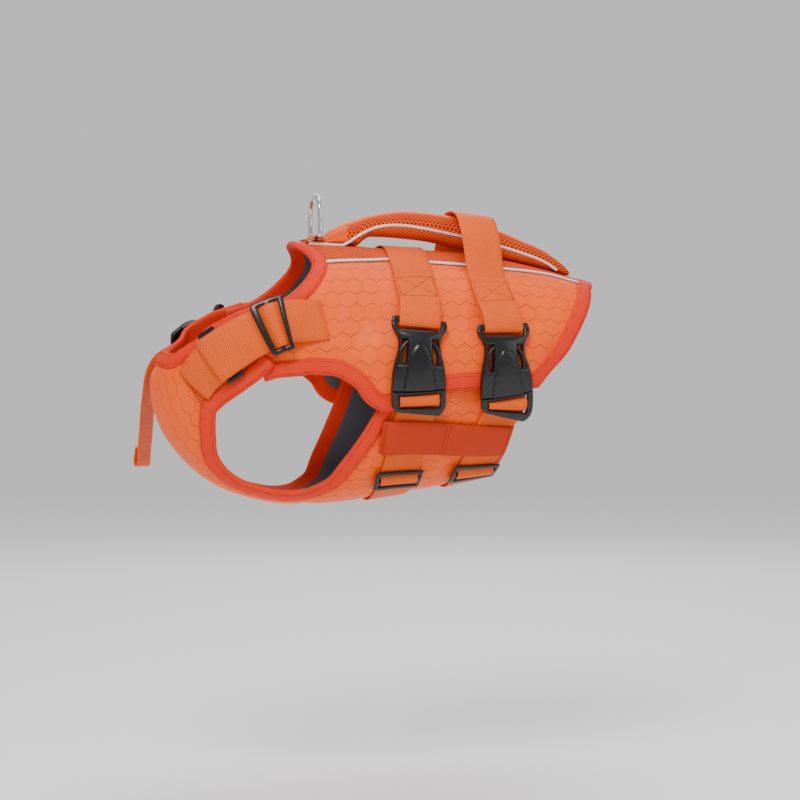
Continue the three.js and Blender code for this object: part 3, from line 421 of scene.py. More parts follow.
@dataclass(frozen=True)
class Finish:
    """A cloth, tape or webbing finish.

    Colours are linear. The dark colour is painted shade in the pattern's low spots, between threads and in the knit's
    holes, and it also mottles the cloth at random. The pattern's pitch is in millimetres and its relief in the same
    unit.
    """

    name: str
    colour: tuple[float, float, float]
    dark: tuple[float, float, float]
    pattern: Pattern = Pattern.WEAVE
    pitch: float = 1.2
    relief: float = 0.25
    dip: float = 0.5
    roughness: float = 0.75
    shine: float = 0.2
    print_pitch: float = 0.0
    print_colour: tuple[float, float, float] = (0.45, 0.09, 0.01)
    metallic: float = 0.0

    def material(self) -> bpy.types.Material:
        """Makes or finds the material."""
        if self.name in bpy.data.materials:
            return bpy.data.materials[self.name]
        made = bpy.data.materials.new(self.name)
        made.use_nodes = True
        n = Nodes(made.node_tree)
        shader = made.node_tree.nodes["Principled BSDF"]
        place = n.add("ShaderNodeUVMap", uv_map="cloth").outputs[0]
        shape = self.group(n, self.pattern, place, self.pitch)
        grain = self.group(n, Pattern.GRAIN, place, 40.0)
        # Painted shade: where the pattern lies low, between threads and in the knit's holes, the colour is mixed
        # towards the dark one.
        recess_shade = n.math("MULTIPLY", n.math("SUBTRACT", 1.0, shape.outputs["Mask"]), self.dip)
        base = n.mix(recess_shade, (*self.colour, 1.0), (*self.dark, 1.0))
        cloud = n.ramp(grain.outputs["Mask"], 0.3, 0.75)
        base = n.mix(n.math("MULTIPLY", cloud, 0.16), base, (*self.dark, 1.0))
        if self.print_pitch:
            net = self.group(n, Pattern.HEXAGONS, place, self.print_pitch)
            lines = n.math("MAXIMUM", n.math("MULTIPLY", net.outputs["Mask"], 0.75),
                           n.math("MULTIPLY", net.outputs["Height"], 0.28))
            worn = n.ramp(self.group(n, Pattern.GRAIN, place, 55.0).outputs["Mask"], 0.25, 0.6)
            lines = n.math("MULTIPLY", lines, n.math("ADD", n.math("MULTIPLY", worn, 0.6), 0.4))
            base = n.mix(lines, base, (*self.print_colour, 1.0))
        n.feed(shader.inputs["Base Color"], base)
        rough = n.math("ADD", n.math("MULTIPLY", grain.outputs["Height"], 0.12), self.roughness - 0.06)
        n.feed(shader.inputs["Roughness"], rough)
        shader.inputs["Metallic"].default_value = self.metallic
        shader.inputs["Specular IOR Level"].default_value = self.shine
        bump = n.add("ShaderNodeBump")
        bump.inputs["Strength"].default_value = 0.7
        bump.inputs["Distance"].default_value = self.relief * MM
        n.feed(bump.inputs["Height"], shape.outputs["Height"])
        n.feed(shader.inputs["Normal"], bump.outputs[0])
        return made

    @staticmethod
    def group(n: Nodes, pattern: Pattern, place: bpy.types.NodeSocket, pitch: float) -> bpy.types.Node:
        """Places a pattern's group, with its pitch in millimetres."""
        node = n.add("ShaderNodeGroup", node_tree=pattern_group(pattern))
        n.feed(node.inputs["Place"], place)
        node.inputs["Pitch"].default_value = pitch * MM
        return node


@dataclass(frozen=True)
class HardFinish:
    """Moulded plastic or polished steel, with a fine surface from noise on Object coordinates."""

    name: str
    colour: tuple[float, float, float]
    roughness: float
    metallic: float = 0.0
    relief: float = 0.02
    worn: float = 0.0
    shine: float = 0.5

    def material(self) -> bpy.types.Material:
        """Makes or finds the material."""
        if self.name in bpy.data.materials:
            return bpy.data.materials[self.name]
        made = bpy.data.materials.new(self.name)
        made.use_nodes = True
        n = Nodes(made.node_tree)
        shader = made.node_tree.nodes["Principled BSDF"]
        place = n.add("ShaderNodeTexCoord").outputs["Object"]
        fine = n.noise(place, 1800.0, 2.0)
        broad = n.noise(place, 45.0, 3.0)
        light = tuple(min(1.0, c * 1.4 + 0.01) for c in self.colour)
        factor = n.math("MULTIPLY", n.ramp(broad, 0.45, 0.75), self.worn)
        n.feed(shader.inputs["Base Color"], n.mix(factor, (*self.colour, 1.0), (*light, 1.0)))
        n.feed(shader.inputs["Roughness"],
               n.math("ADD", n.math("MULTIPLY", broad, 0.16), self.roughness - 0.08))
        shader.inputs["Metallic"].default_value = self.metallic
        shader.inputs["Specular IOR Level"].default_value = self.shine
        bump = n.add("ShaderNodeBump")
        bump.inputs["Strength"].default_value = 0.35
        bump.inputs["Distance"].default_value = self.relief * MM
        n.feed(bump.inputs["Height"], fine)
        n.feed(shader.inputs["Normal"], bump.outputs[0])
        return made


# Each finish's second colour is painted shade for the low spots of its weave or knit, and it also mottles the cloth at
# random.
HEX_CLOTH = Finish("hexagon_ripstop", (0.92, 0.1, 0.0), (0.6, 0.045, 0.0), pitch=1.6, relief=0.08, dip=0.3,
                   roughness=0.5, print_pitch=20.0, print_colour=(0.26, 0.018, 0.0))
SMOOTH_CLOTH = Finish("smooth_ripstop", (0.9, 0.092, 0.0), (0.6, 0.045, 0.0), pitch=1.6, relief=0.08, dip=0.3,
                      roughness=0.5)
# The air mesh's dark colour is painted shade in the holes of the knit.
AIR_MESH = Finish("air_mesh", (0.88, 0.08, 0.0), (0.17, 0.009, 0.0), Pattern.KNIT, 5.4, 1.6, 0.9, 0.7)
TAPE = Finish("binding_tape", (0.76, 0.026, 0.0), (0.46, 0.011, 0.0), pitch=2.4, relief=0.2, dip=0.6,
              roughness=0.62)
BAND = Finish("ribbed_webbing", (0.92, 0.118, 0.0), (0.32, 0.02, 0.0), pitch=3.4, relief=0.6, dip=0.75,
              roughness=0.5)
# The keeper's webbing is darkened to the tone of the shade under the belly: painted shade.
SHADED_KEEPER_BAND = Finish("plain_webbing", (0.5, 0.029, 0.0), (0.36, 0.016, 0.0), pitch=2.4, relief=0.3, dip=0.5,
                   roughness=0.6)
PIPING = Finish("reflective_piping", (0.72, 0.74, 0.77), (0.5, 0.51, 0.54), pitch=0.7, relief=0.05, dip=0.4,
                roughness=0.35, metallic=0.25)
LINING = Finish("grey_lining", (0.09, 0.093, 0.1), (0.05, 0.052, 0.058), pitch=1.6, relief=0.1, dip=0.5,
                roughness=0.6)
DARK_THREAD = Finish("dark_thread", (0.2, 0.011, 0.0), (0.12, 0.006, 0.0), pitch=0.6, relief=0.05, roughness=0.6)
BRIGHT_THREAD = Finish("bright_thread", (0.9, 0.2, 0.006), (0.8, 0.15, 0.004), pitch=0.6, relief=0.05,
                       roughness=0.5)
PLASTIC = HardFinish("black_moulding", (0.006, 0.006, 0.007), 0.26, worn=0.2, shine=0.38)
STEEL = HardFinish("polished_steel", (0.6, 0.6, 0.62), 0.14, metallic=1.0, relief=0.01, worn=0.3)


def make_piece(name: str, points: Array, faces: Iterable[Sequence[int]], finish: Finish | HardFinish,
               nodes: Sequence[str] = (), uv: Array | None = None, body: str = "jacket") -> bpy.types.Object:
    """Makes one finished piece from computed points.

    Args:
        name: the piece's name.
        points: its places in millimetres.
        faces: the corners of each face.
        finish: what it is made of.
        nodes: the frame's nodes that it stands for.
        uv: a flat coordinate in metres for each point.
        body: what it moves with.

    Returns:
        The object.
    """
    mesh = bpy.data.meshes.new(name)
    mesh.from_pydata((np.asarray(points) * MM).tolist(), [], [list(map(int, f)) for f in faces])
    made = bpy.data.objects.new(name, mesh)
    bpy.context.scene.collection.objects.link(made)
    if uv is not None:
        corner = np.empty(len(mesh.loops), dtype=np.int32)
        mesh.loops.foreach_get("vertex_index", corner)
        mesh.uv_layers.new(name="cloth").data.foreach_set("uv", np.asarray(uv)[corner].astype(np.float32).ravel())
    mesh.polygons.foreach_set("use_smooth", np.ones(len(mesh.polygons), dtype=bool))
    bpy.ops.object.select_all(action="DESELECT")
    bpy.context.view_layer.objects.active = made
    made.select_set(True)
    bpy.ops.object.mode_set(mode="EDIT")
    bpy.ops.mesh.select_all(action="SELECT")
    bpy.ops.mesh.normals_make_consistent(inside=False)
    bpy.ops.object.mode_set(mode="OBJECT")
    made.select_set(False)
    dress(made, finish, nodes, body)
    return made


def dress(made: bpy.types.Object, finish: Finish | HardFinish, nodes: Sequence[str],
          body: str = "jacket") -> None:
    """Gives a piece its material, its body and the nodes that it stands for."""
    made.data.materials.clear()
    made.data.materials.append(finish.material())
    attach(made, body)
    if nodes:
        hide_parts(*nodes)
    LOG.info("%s: %d faces", made.name, len(made.data.polygons))


def tube_faces(rings: int, around: int, closed: bool = False) -> list[list[int]]:
    """The faces of a tube of rings, with flat caps unless it closes on itself."""
    faces = []
    for i in range(rings if closed else rings - 1):
        k = (i + 1) % rings
        for j in range(around):
            m = (j + 1) % around
            faces.append([i * around + j, i * around + m, k * around + m, k * around + j])
    if not closed:
        faces.append(list(range(around)))
        faces.append([(rings - 1) * around + j for j in reversed(range(around))])
    return faces


class Stitches:
    """Rows of short raised stitches, collected and made as one piece."""

    half_width = 0.55
    proud = 0.6

    def __init__(self, thread: Finish, step: float, length: float) -> None:
        """Starts with none."""
        self.thread = thread
        self.step = step
        self.length = length
        self.points: list[Array] = []

    def row(self, spots: Array, normals: Array) -> None:
        """Adds a row along a line of places with their outward directions.

        Args:
            spots: places along the row.
            normals: the direction out of the cloth at each.
        """
        run = np.concatenate([[0], np.cumsum(np.linalg.norm(np.diff(spots, axis=0), axis=1))])
        count = max(1, int(run[-1] / self.step))
        middle = (np.arange(count) + 0.5) * run[-1] / count
        spot = np.stack([np.interp(middle, run, spots[:, k]) for k in range(3)], 1)
        ahead = np.stack([np.interp(middle + 0.5, run, spots[:, k]) for k in range(3)], 1)
        back = np.stack([np.interp(middle - 0.5, run, spots[:, k]) for k in range(3)], 1)
        up = np.stack([np.interp(middle, run, normals[:, k]) for k in range(3)], 1)
        along = ahead - back
        along /= np.linalg.norm(along, axis=1, keepdims=True)
        across = np.cross(up, along)
        across /= np.linalg.norm(across, axis=1, keepdims=True)
        end = along * self.length / 2
        corners = [spot - end - up * 0.2, spot + across * self.half_width, spot + up * self.proud,
                   spot - across * self.half_width, spot + end - up * 0.2]
        self.points.append(np.stack(corners, 1))

    def make(self, name: str) -> bpy.types.Object:
        """Makes all the rows as one joined piece."""
        points = np.concatenate(self.points)
        faces = []
        for k in range(len(points)):
            a, b, c, d, e = (5 * k + j for j in range(5))
            faces += [[a, b, c], [a, c, d], [e, c, b], [e, d, c], [a, d, e, b]]
        flat = points.reshape(-1, 3)
        return make_piece(name, flat, faces, self.thread, uv=cloth_map(flat))


SEAMS = Stitches(BRIGHT_THREAD, 3.0, 2.7)
STITCHES = Stitches(DARK_THREAD, 2.8, 2.2)


def chart_row(places: Array, height: float, lift: Callable[[Array, Array], Array]) -> None:
    """Sews a bright row along a line of s and degrees at some height over the form."""
    s, deg = places[:, 0], places[:, 1]
    SEAMS.row(FORM.skin(s, deg, height + lift(s, deg)), FORM.normal(s, deg))


def coons(near: Array, far: Array, start: Array, end: Array) -> Array:
    """A grid of places inside four edges; near and far run along it, start and end across it."""
    u = np.linspace(0, 1, len(near))[:, None, None]
    v = np.linspace(0, 1, len(start))[None, :, None]
    corners = (near[0] * (1 - u) + near[-1] * u) * (1 - v) + (far[0] * (1 - u) + far[-1] * u) * v
    return near[:, None] * (1 - v) + far[:, None] * v + start[None] * (1 - u) + end[None] * u - corners


@dataclass
class Crease:
    """A soft trough or ridge in cloth, between two places, with its depth and width in millimetres."""

    start: tuple[float, float]
    end: tuple[float, float]
    depth: float
    width: float

    def heights(self, points: Array, chart: Array) -> Array:
        """How far it moves each place outwards."""
        ends = FORM.point(*np.array([self.start, self.end]).T)
        along = ends[1] - ends[0]
        f = np.clip(((points - ends[0]) @ along) / (along @ along), 0, 1)
        miss = np.linalg.norm(points - ends[0] - f[:, None] * along, axis=1)
        fade = np.sin(math.pi * np.clip(f * 0.96 + 0.02, 0, 1)) ** 0.7
        return 1.6 * self.depth * fade * np.exp(-((miss / self.width) ** 2))


@dataclass
class Wall:
    """A cloth wall over joined patches of the chart, pressed thin at its seams and full in the middle."""

    name: str
    patches: list[Array]
    lift: Callable[[Array, Array], Array]
    low: float = WALL_IN
    high: float = WALL_OUT
    pinch: float = 1.6
    reach: float = 15.0
    by_chart: bool = False
    creases: list[Crease] = field(default_factory=list)

    def net(self) -> tuple[Array, list[list[int]]]:
        """Joins the patches where they share an edge."""
        ids: dict[tuple[int, int], int] = {}
        chart: list[Array] = []
        faces: list[list[int]] = []
        for patch in self.patches:
            index = np.empty(patch.shape[:2], dtype=int)
            for i, j in np.ndindex(*patch.shape[:2]):
                key = (round(patch[i, j, 0] * 1e5), round(patch[i, j, 1] * 1e3))
                if key not in ids:
                    ids[key] = len(chart)
                    chart.append(patch[i, j])
                index[i, j] = ids[key]
            quads = np.stack([index[:-1, :-1], index[1:, :-1], index[1:, 1:], index[:-1, 1:]], -1).reshape(-1, 4)
            faces += [q.tolist() for q in quads if len(set(q.tolist())) == 4]
        return np.array(chart), faces

    def make(self, finish: Finish, slot: Slot, nodes: Sequence[str]) -> bpy.types.Object:
        """Makes the wall as a closed mesh."""
        chart, faces = self.net()
        count = len(chart)
        used: dict[tuple[int, int], tuple[int, int]] = {}
        for face in faces:
            for a, b in zip(face, face[1:] + face[:1]):
                key = (min(a, b), max(a, b))
                if key in used:
                    used[key] = (-1, -1)
                else:
                    used[key] = (a, b)
        rim = [edge for edge in used.values() if edge[0] >= 0]
        s, deg = chart[:, 0], chart[:, 1]
        flat = FORM.point(s, deg)
        border = flat[sorted({v for edge in rim for v in edge})]
        miss = np.min(np.linalg.norm(flat[:, None] - border[None], axis=2), axis=1)
        raise_by = self.lift(s, deg)
        outer = self.high - self.pinch * (1 - smooth_step(0, self.reach, miss))
        for crease in self.creases:
            outer = outer + crease.heights(flat, chart) * smooth_step(0, 8, miss)
        points = np.vstack([FORM.skin(s, deg, self.low + raise_by), FORM.skin(s, deg, outer + raise_by)])
        shell = [[v + count for v in face] for face in faces] + [face[::-1] for face in faces]
        shell += [[a, b, b + count, a + count] for a, b in rim]
        uv = np.tile(chart_map(s, deg), (2, 1)) if self.by_chart else cloth_map(points)
        return make_piece(self.name, points, shell, finish, nodes, uv)


@dataclass
class Binding:
    """Tape folded round an edge: a rounded ring of points swept along a line of s and degrees."""

    name: str
    edge: Array
    outwards: float
    lift: Callable[[Array, Array], Array]
    ring: tuple[tuple[float, float], ...] = (
        (-1.4, 6.6), (-1.2, 7.9), (0.4, 8.7), (4, 9.1), (9, 9.2), (13, 8.8), (16, 7.8), (17.9, 5.9), (18.2, 4.0),
        (17.4, 2.0), (15, 0.7), (11, 0.2), (5, 0.1), (0, 0.0), (-1.2, 0.3), (-1.4, 1.4),
    )

    def make(self) -> bpy.types.Object:
        """Makes the tape and sews a row along it."""
        s, deg = self.edge[:, 0], self.edge[:, 1]
        spots = FORM.point(s, deg)
        normal = FORM.normal(s, deg)
        run = np.diff(spots, axis=0)
        run /= np.linalg.norm(run, axis=1, keepdims=True)
        side = np.cross(normal[:-1], run)
        both = np.vstack([side[:1], side[:-1] + side[1:], side[-1:]])
        both /= np.linalg.norm(both, axis=1, keepdims=True)
        ends = np.vstack([side, side[-1:]])
        stretch = 1 / np.maximum(0.6, (both * ends).sum(1))
        ring = np.array(self.ring)
        rows = []
        for wide, height in ring:
            at = FORM.walk(s, deg, both * self.outwards, wide * stretch)
            puff = 0.25 * np.sin(np.arange(len(s)) * 0.9) * (height > 5)
            rows.append(FORM.skin(*at, height + puff + self.lift(*at)))
        points = np.stack(rows, 1)
        length = np.concatenate([[0], np.cumsum(np.linalg.norm(np.diff(points[:, 4], axis=0), axis=1))])
        round_it = np.concatenate([[0], np.cumsum(np.linalg.norm(np.diff(ring, axis=0), axis=1))])
        uv = np.stack(np.broadcast_arrays(length[:, None], round_it[None]), -1).reshape(-1, 2) * MM
        flat = points.reshape(-1, 3)
        made = make_piece(self.name, flat, tube_faces(len(points), len(ring)), TAPE,
                          (self.name.replace("taped_", ""),), uv)
        for wide in (1.6, 14.6):
            at = FORM.walk(s, deg, both * self.outwards, wide * stretch)
            height = np.interp(wide, [0, 4, 9, 13, 16], [8.5, 9.1, 9.2, 8.8, 7.8])
            STITCHES.row(FORM.skin(*at, height + 0.05 + self.lift(*at)), FORM.normal(*at))
        return made


class Saddle:
    """The back half: two side panels with shoulder tongues, the mesh strip over the spine, and lining."""

    neck_edge = [(0.108, 88), (0.125, 81.5), (0.144, 75.4), (0.162, 66.3), (0.172, 54.5), (0.169, 44), (0.158, 36.5)]
    piping_line = [(0.158, 36.5), (0.218, 32), (0.379, 26), (0.520, 28), (0.629, 28.7), (0.746, 27), (0.867, 21.7),
                   (0.943, 22.1)]
    armhole_front = [(0.175, 103), (0.199, 94.7), (0.253, 86.1)]
    lower_edge = [(0.253, 86.1), (0.310, 84), (0.365, 89.2), (0.395, 96), (0.420, 98), (0.489, 93), (0.553, 91.3),
                  (0.643, 91.1), (0.717, 92.5), (0.785, 91.5)]
    tongue_end = [(0.108, 88), (0.143, 94), (0.175, 103)]
    shoulder_seam = [(0.158, 36.5), (0.215, 62), (0.253, 86.1)]
    rear_edge = [(0.943, 22.1), (0.916, 45), (0.880, 64.1), (0.847, 77.3), (0.785, 91.5)]
    spine_front = [(0.158, 36.5), (0.127, 28.7), (0.046, 10.7), (0.034, 0)]
    spine_rear = [(0.943, 22.1), (0.958, 12), (0.966, 0)]
    tongue_cells = 24
    side_cells = 96
    rows = 36
    spine_rows = 30
    piping_width = 5.6
    creases = [
        Crease((0.2, 50), (0.275, 86), -1.1, 2.8), Crease((0.285, 50), (0.30, 80), 0.8, 9),
        Crease((0.33, 36), (0.40, 78), -0.7, 8), Crease((0.385, 45), (0.42, 88), 0.9, 11),
        Crease((0.545, 40), (0.56, 86), -1.0, 9), Crease((0.60, 46), (0.59, 84), 0.8, 8),
        Crease((0.78, 30), (0.80, 76), -0.9, 10), Crease((0.84, 28), (0.87, 60), 0.9, 9),
        Crease((0.71, 84), (0.80, 70), -0.8, 7), Crease((0.30, 82), (0.40, 92), -0.8, 6),
        Crease((0.18, 60), (0.21, 84), -0.7, 6), Crease((0.15, 84), (0.22, 92), 0.7, 6),
    ]

    def __init__(self) -> None:
        """Works out the patches."""
        seam = chart_curve(self.shoulder_seam, self.rows)
        self.tongue = coons(chart_curve(self.neck_edge, self.tongue_cells),
                            chart_curve(self.armhole_front, self.tongue_cells),
                            chart_curve(self.tongue_end, self.rows), seam)
        self.side = coons(chart_curve(self.piping_line, self.side_cells), chart_curve(self.lower_edge, self.side_cells),
                          seam, chart_curve(self.rear_edge, self.rows))
        self.top = self.side[:, 0]
        self.spine_edge = self.beside_piping(self.piping_width)
        self.spine = coons(self.spine_edge, self.flip(self.spine_edge),
                           self.across(self.spine_front, self.spine_edge[0]),
                           self.across(self.spine_rear, self.spine_edge[-1]))

    @staticmethod
    def flip(places: Array) -> Array:
        """The same places on the other side."""
        return places * np.array([1, -1])

    def beside_piping(self, distance: float) -> Array:
        """The piping line, moved some millimetres towards the spine."""
        s, deg = self.top[:, 0], self.top[:, 1]
        spots = FORM.point(s, deg)
        up = np.cross(FORM.normal(s, deg), np.gradient(spots, axis=0))
        up /= np.linalg.norm(up, axis=1, keepdims=True)
        up *= np.where((up * (FORM.point(s, deg - 1) - spots)).sum(1) < 0, -1, 1)[:, None]
        return np.stack(FORM.walk(s, deg, up, distance), 1)

    def across(self, edge: Path, corner: Array) -> Array:
        """One end of the spine strip, from side to side."""
        half = chart_curve([tuple(corner), *edge[1:]], 20)
        return chart_curve(np.vstack([half, self.flip(half[:-1][::-1])]), self.spine_rows)

    def make(self) -> None:
        """Makes the saddle's cloth."""
        for side in Side:
            turn = (lambda p: p) if side is Side.LEFT else self.flip
            creases = [Crease((c.start[0], c.start[1] * side.value), (c.end[0], c.end[1] * side.value), c.depth,
                              c.width) for c in self.creases]
            panel = Wall(f"panel_{side.word}", [turn(self.tongue), turn(self.side)], saddle_lift, creases=creases,
                         pinch=1.8, high=WALL_OUT + 0.3)
            panel.make(HEX_CLOTH, Slot.HEX_CLOTH, (f"side_panel_{side.word}",))
            self.piping(side)
        ridge = Wall("spine_mesh", [self.spine], saddle_lift, pinch=1.2, high=WALL_OUT + 0.2, reach=9)
        ridge.make(AIR_MESH, Slot.MESH, ("spine_panel",))
        strips = [np.stack([self.top, self.spine_edge], 1)]
        whole = [self.tongue, self.side, self.spine, *strips]
        whole += [self.flip(p) for p in (self.tongue, self.side, *strips)]
        lining = Wall("saddle_lining", whole, saddle_lift, low=0.0, high=1.2, pinch=0.0)
        sheet = lining.make(LINING, Slot.LINING, ("back_lining",))
        self.bindings()

    def piping(self, side: Side) -> None:
        """Round reflective piping along the edge of the spine strip."""
        line = self.beside_piping(self.piping_width / 2)
        line = line if side is Side.LEFT else self.flip(line)
        s, deg = line[:, 0], line[:, 1]
        normal = FORM.normal(s, deg)
        across = np.cross(normal, np.gradient(FORM.point(s, deg), axis=0))
        across /= np.linalg.norm(across, axis=1, keepdims=True)
        turns = np.linspace(0, 2 * math.pi, 13)[:-1]
        spot = FORM.skin(s, deg, 7.6)
        ring = [spot + across * 2.3 * math.cos(t) + normal * 1.7 * math.sin(t) for t in turns]
        points = np.stack(ring, 1).reshape(-1, 3)
        make_piece(f"piping_{side.word}", points, tube_faces(len(s), 12), PIPING,
                   (f"spine_piping_{side.word}",), cloth_map(points))

    def bindings(self) -> None:
        """Tape round the neck edge, and round the armholes, lower edges and rear hem."""
        neck = np.vstack([chart_curve(self.neck_edge, 60), self.half_front()[1:]])
        neck = np.vstack([neck, self.flip(neck[:-1][::-1])])
        Binding("taped_neck_binding", neck, 1.0, saddle_lift).make()
        rear = np.vstack([chart_curve(self.rear_edge, 50)[::-1], chart_curve([tuple(self.rear_edge[0]),
                          *self.spine_rear[1:]], 16)[1:]])
        lower = np.vstack([chart_curve(self.armhole_front, 24)[3:], chart_curve(self.lower_edge, 90)[1:], rear[1:]])
        lower = np.vstack([lower, self.flip(lower[:-1][::-1])])
        Binding("taped_edge_binding", lower, -1.0, saddle_lift).make()

    def half_front(self) -> Array:
        """The front edge of the spine strip, from the piping to the middle."""
        return chart_curve(self.spine_front, 24)


class Front:
    """The chest bib, the strap between the forelegs, the belly flap and the two mesh shoulder pads."""

    chest_neck = [(0.066, 135), (0.062, 145.6), (0.042, 164), (0.033, 180)]
    chest_seam = [(0.066, 135), (0.110, 134.5), (0.152, 133.5)]
    chest_armhole = [(0.152, 133.5), (0.184, 145.3), (0.214, 157), (0.256, 164.5), (0.302, 166.5), (0.340, 165),
                     (0.362, 161)]
    belly_front = [(0.448, 90), (0.436, 103.4), (0.415, 121.3), (0.399, 135.9), (0.388, 149), (0.362, 161)]
    belly_top = [(0.448, 90), (0.590, 88), (0.727, 88)]
    belly_rear = [(0.727, 88), (0.728, 116), (0.724, 144), (0.725, 180)]
    strip_line = [(0.362, 161), (0.362, 180)]
    pad_neck = [(0.066, 135), (0.069, 126.8), (0.089, 101.8), (0.103, 91), (0.120, 84)]
    pad_armhole = [(0.152, 133.5), (0.152, 124), (0.160, 111), (0.168, 102), (0.170, 95)]
    pad_tip = [(0.120, 84), (0.150, 86), (0.170, 95)]
    seam_cells = 16
    arm_cells = 50
    half_rows = 16
    belly_cells = 36
    belly_front_cells = 34
    creases = [
        Crease((0.50, 98), (0.51, 150), -1.3, 9), Crease((0.565, 96), (0.56, 152), 1.2, 11),
        Crease((0.60, 96), (0.615, 150), -1.2, 9), Crease((0.44, 112), (0.47, 160), -0.9, 9),
        Crease((0.10, 138), (0.17, 170), 0.8, 16), Crease((0.18, 150), (0.30, 172), -0.8, 12),
        Crease((0.72, 100), (0.64, 170), 0.8, 12), Crease((0.08, 150), (0.09, 178), -0.7, 10),
    ]

    @staticmethod
    def over(places: Array) -> Array:
        """The same places on the other side of the front."""
        return places * np.array([1, -1]) + np.array([0, 360])

    def whole(self, edge: Path, half: int) -> Array:
        """An edge that crosses the middle, from side to side."""
        left = chart_curve(edge, half)
        return np.vstack([left, self.over(left[:-1][::-1])])

    def make(self) -> None:
        """Makes the front's cloth."""
        start = np.vstack([chart_curve(self.chest_seam, self.seam_cells),
                           chart_curve(self.chest_armhole, self.arm_cells)[1:]])
        strip = self.whole(self.strip_line, self.half_rows)
        chest = coons(start, self.over(start), self.whole(self.chest_neck, self.half_rows), strip)
        left = chart_curve(self.belly_front, self.belly_front_cells)
        front_edge = np.vstack([left[:-1], strip, self.over(left[:-1][::-1])])
        rear_edge = self.whole(self.belly_rear, self.belly_front_cells + self.half_rows)
        top = chart_curve(self.belly_top, self.belly_cells)
        belly = coons(top, self.over(top), front_edge, rear_edge)
        pad = coons(chart_curve(self.pad_neck, 40), chart_curve(self.pad_armhole, 40),
                    chart_curve(self.chest_seam, self.seam_cells), chart_curve(self.pad_tip, self.seam_cells))
        creases = [*self.creases, *(Crease((c.start[0], 360 - c.start[1]), (c.end[0], 360 - c.end[1]), c.depth,
                                           c.width) for c in self.creases)]
        cloth = Wall("bib_and_flap", [chest, belly], pad_lift, creases=creases, pinch=1.8, by_chart=True)
        cloth.make(HEX_CLOTH, Slot.HEX_CLOTH, ("front_panel",))
        whole = Wall("front_lining_cloth", [chest, belly, pad, self.over(pad)], pad_lift, low=0.0, high=1.2, pinch=0.0)
        sheet = whole.make(LINING, Slot.LINING, ("front_lining",))
        for side in Side:
            turn = (lambda p: p) if side is Side.LEFT else self.over
            mesh = Wall(f"pad_{side.word}", [turn(pad)], pad_lift, pinch=1.4, reach=9)
            mesh.make(AIR_MESH, Slot.MESH, (f"shoulder_pad_{side.word}",))
            chart_row(turn(chart_curve(self.chest_seam, 20)) + np.array([0, 1.2 * side.value]), 8.0, pad_lift)
            leg = np.vstack([chart_curve(self.pad_armhole, 40)[::-1], chart_curve(self.chest_armhole, 80)[1:],
                             chart_curve(self.belly_front, 60)[::-1][1:]])
            Binding(f"taped_leg_binding_{side.word}", turn(leg), 1.0 * side.value, pad_lift).make()
        neck = np.vstack([chart_curve(self.pad_tip, 14)[::-1], chart_curve(self.pad_neck, 50)[::-1][1:],
                          chart_curve(self.chest_neck, 36)[1:]])
        neck = np.vstack([neck, self.over(neck[:-1][::-1])])
        Binding("taped_front_neck_binding", neck, -1.0, pad_lift).make()
        rear = self.whole(self.belly_rear, 70)
        Binding("taped_belly_rear_binding", rear, 1.0, pad_lift).make()


class Line:
    """A centre line over the body: distances run along it, widths sideways from it, heights outwards."""

    height = 17.0

    def __init__(self, places: Path, zero_deg: float | None = None) -> None:
        """Samples the line, and sets where distances start."""
        line = chart_curve(places, 600)
        line = np.vstack([line[0] * 2 - line[12], line, line[-1] * 2 - line[-13]])
        spots = FORM.skin(line[:, 0], line[:, 1], np.full(len(line), self.height))
        run = np.concatenate([[0], np.cumsum(np.linalg.norm(np.diff(spots, axis=0), axis=1))])
        self.line = line
        self.length = float(run[-2] - run[1])
        self.run = run - run[1]
        if zero_deg is not None:
            self.run = self.run - self.reach(zero_deg)

    def reach(self, deg: float) -> float:
        """The distance at which the line passes some degrees."""
        order = np.argsort(self.line[:, 1])
        return float(np.interp(deg, self.line[order, 1], self.run[order]))

    def place(self, distance: Array, width: Array, height: Array) -> Array:
        """Places some distance along, sideways and out."""
        distance, width, height = np.broadcast_arrays(*(np.asarray(v, float) for v in (distance, width, height)))
        s = np.interp(distance, self.run, self.line[:, 0])
        deg = np.interp(distance, self.run, self.line[:, 1])
        step = 1.5
        ends = [(np.interp(distance + k, self.run, self.line[:, 0]), np.interp(distance + k, self.run, self.line[:, 1]))
                for k in (step, -step)]
        ahead = FORM.skin(*ends[0], np.full(s.shape, self.height)) - FORM.skin(*ends[1], np.full(s.shape, self.height))
        side = np.cross(FORM.normal(s, deg), ahead)
        side /= np.linalg.norm(side, axis=-1, keepdims=True)
        return FORM.skin(*FORM.walk(s, deg, side, width), height)


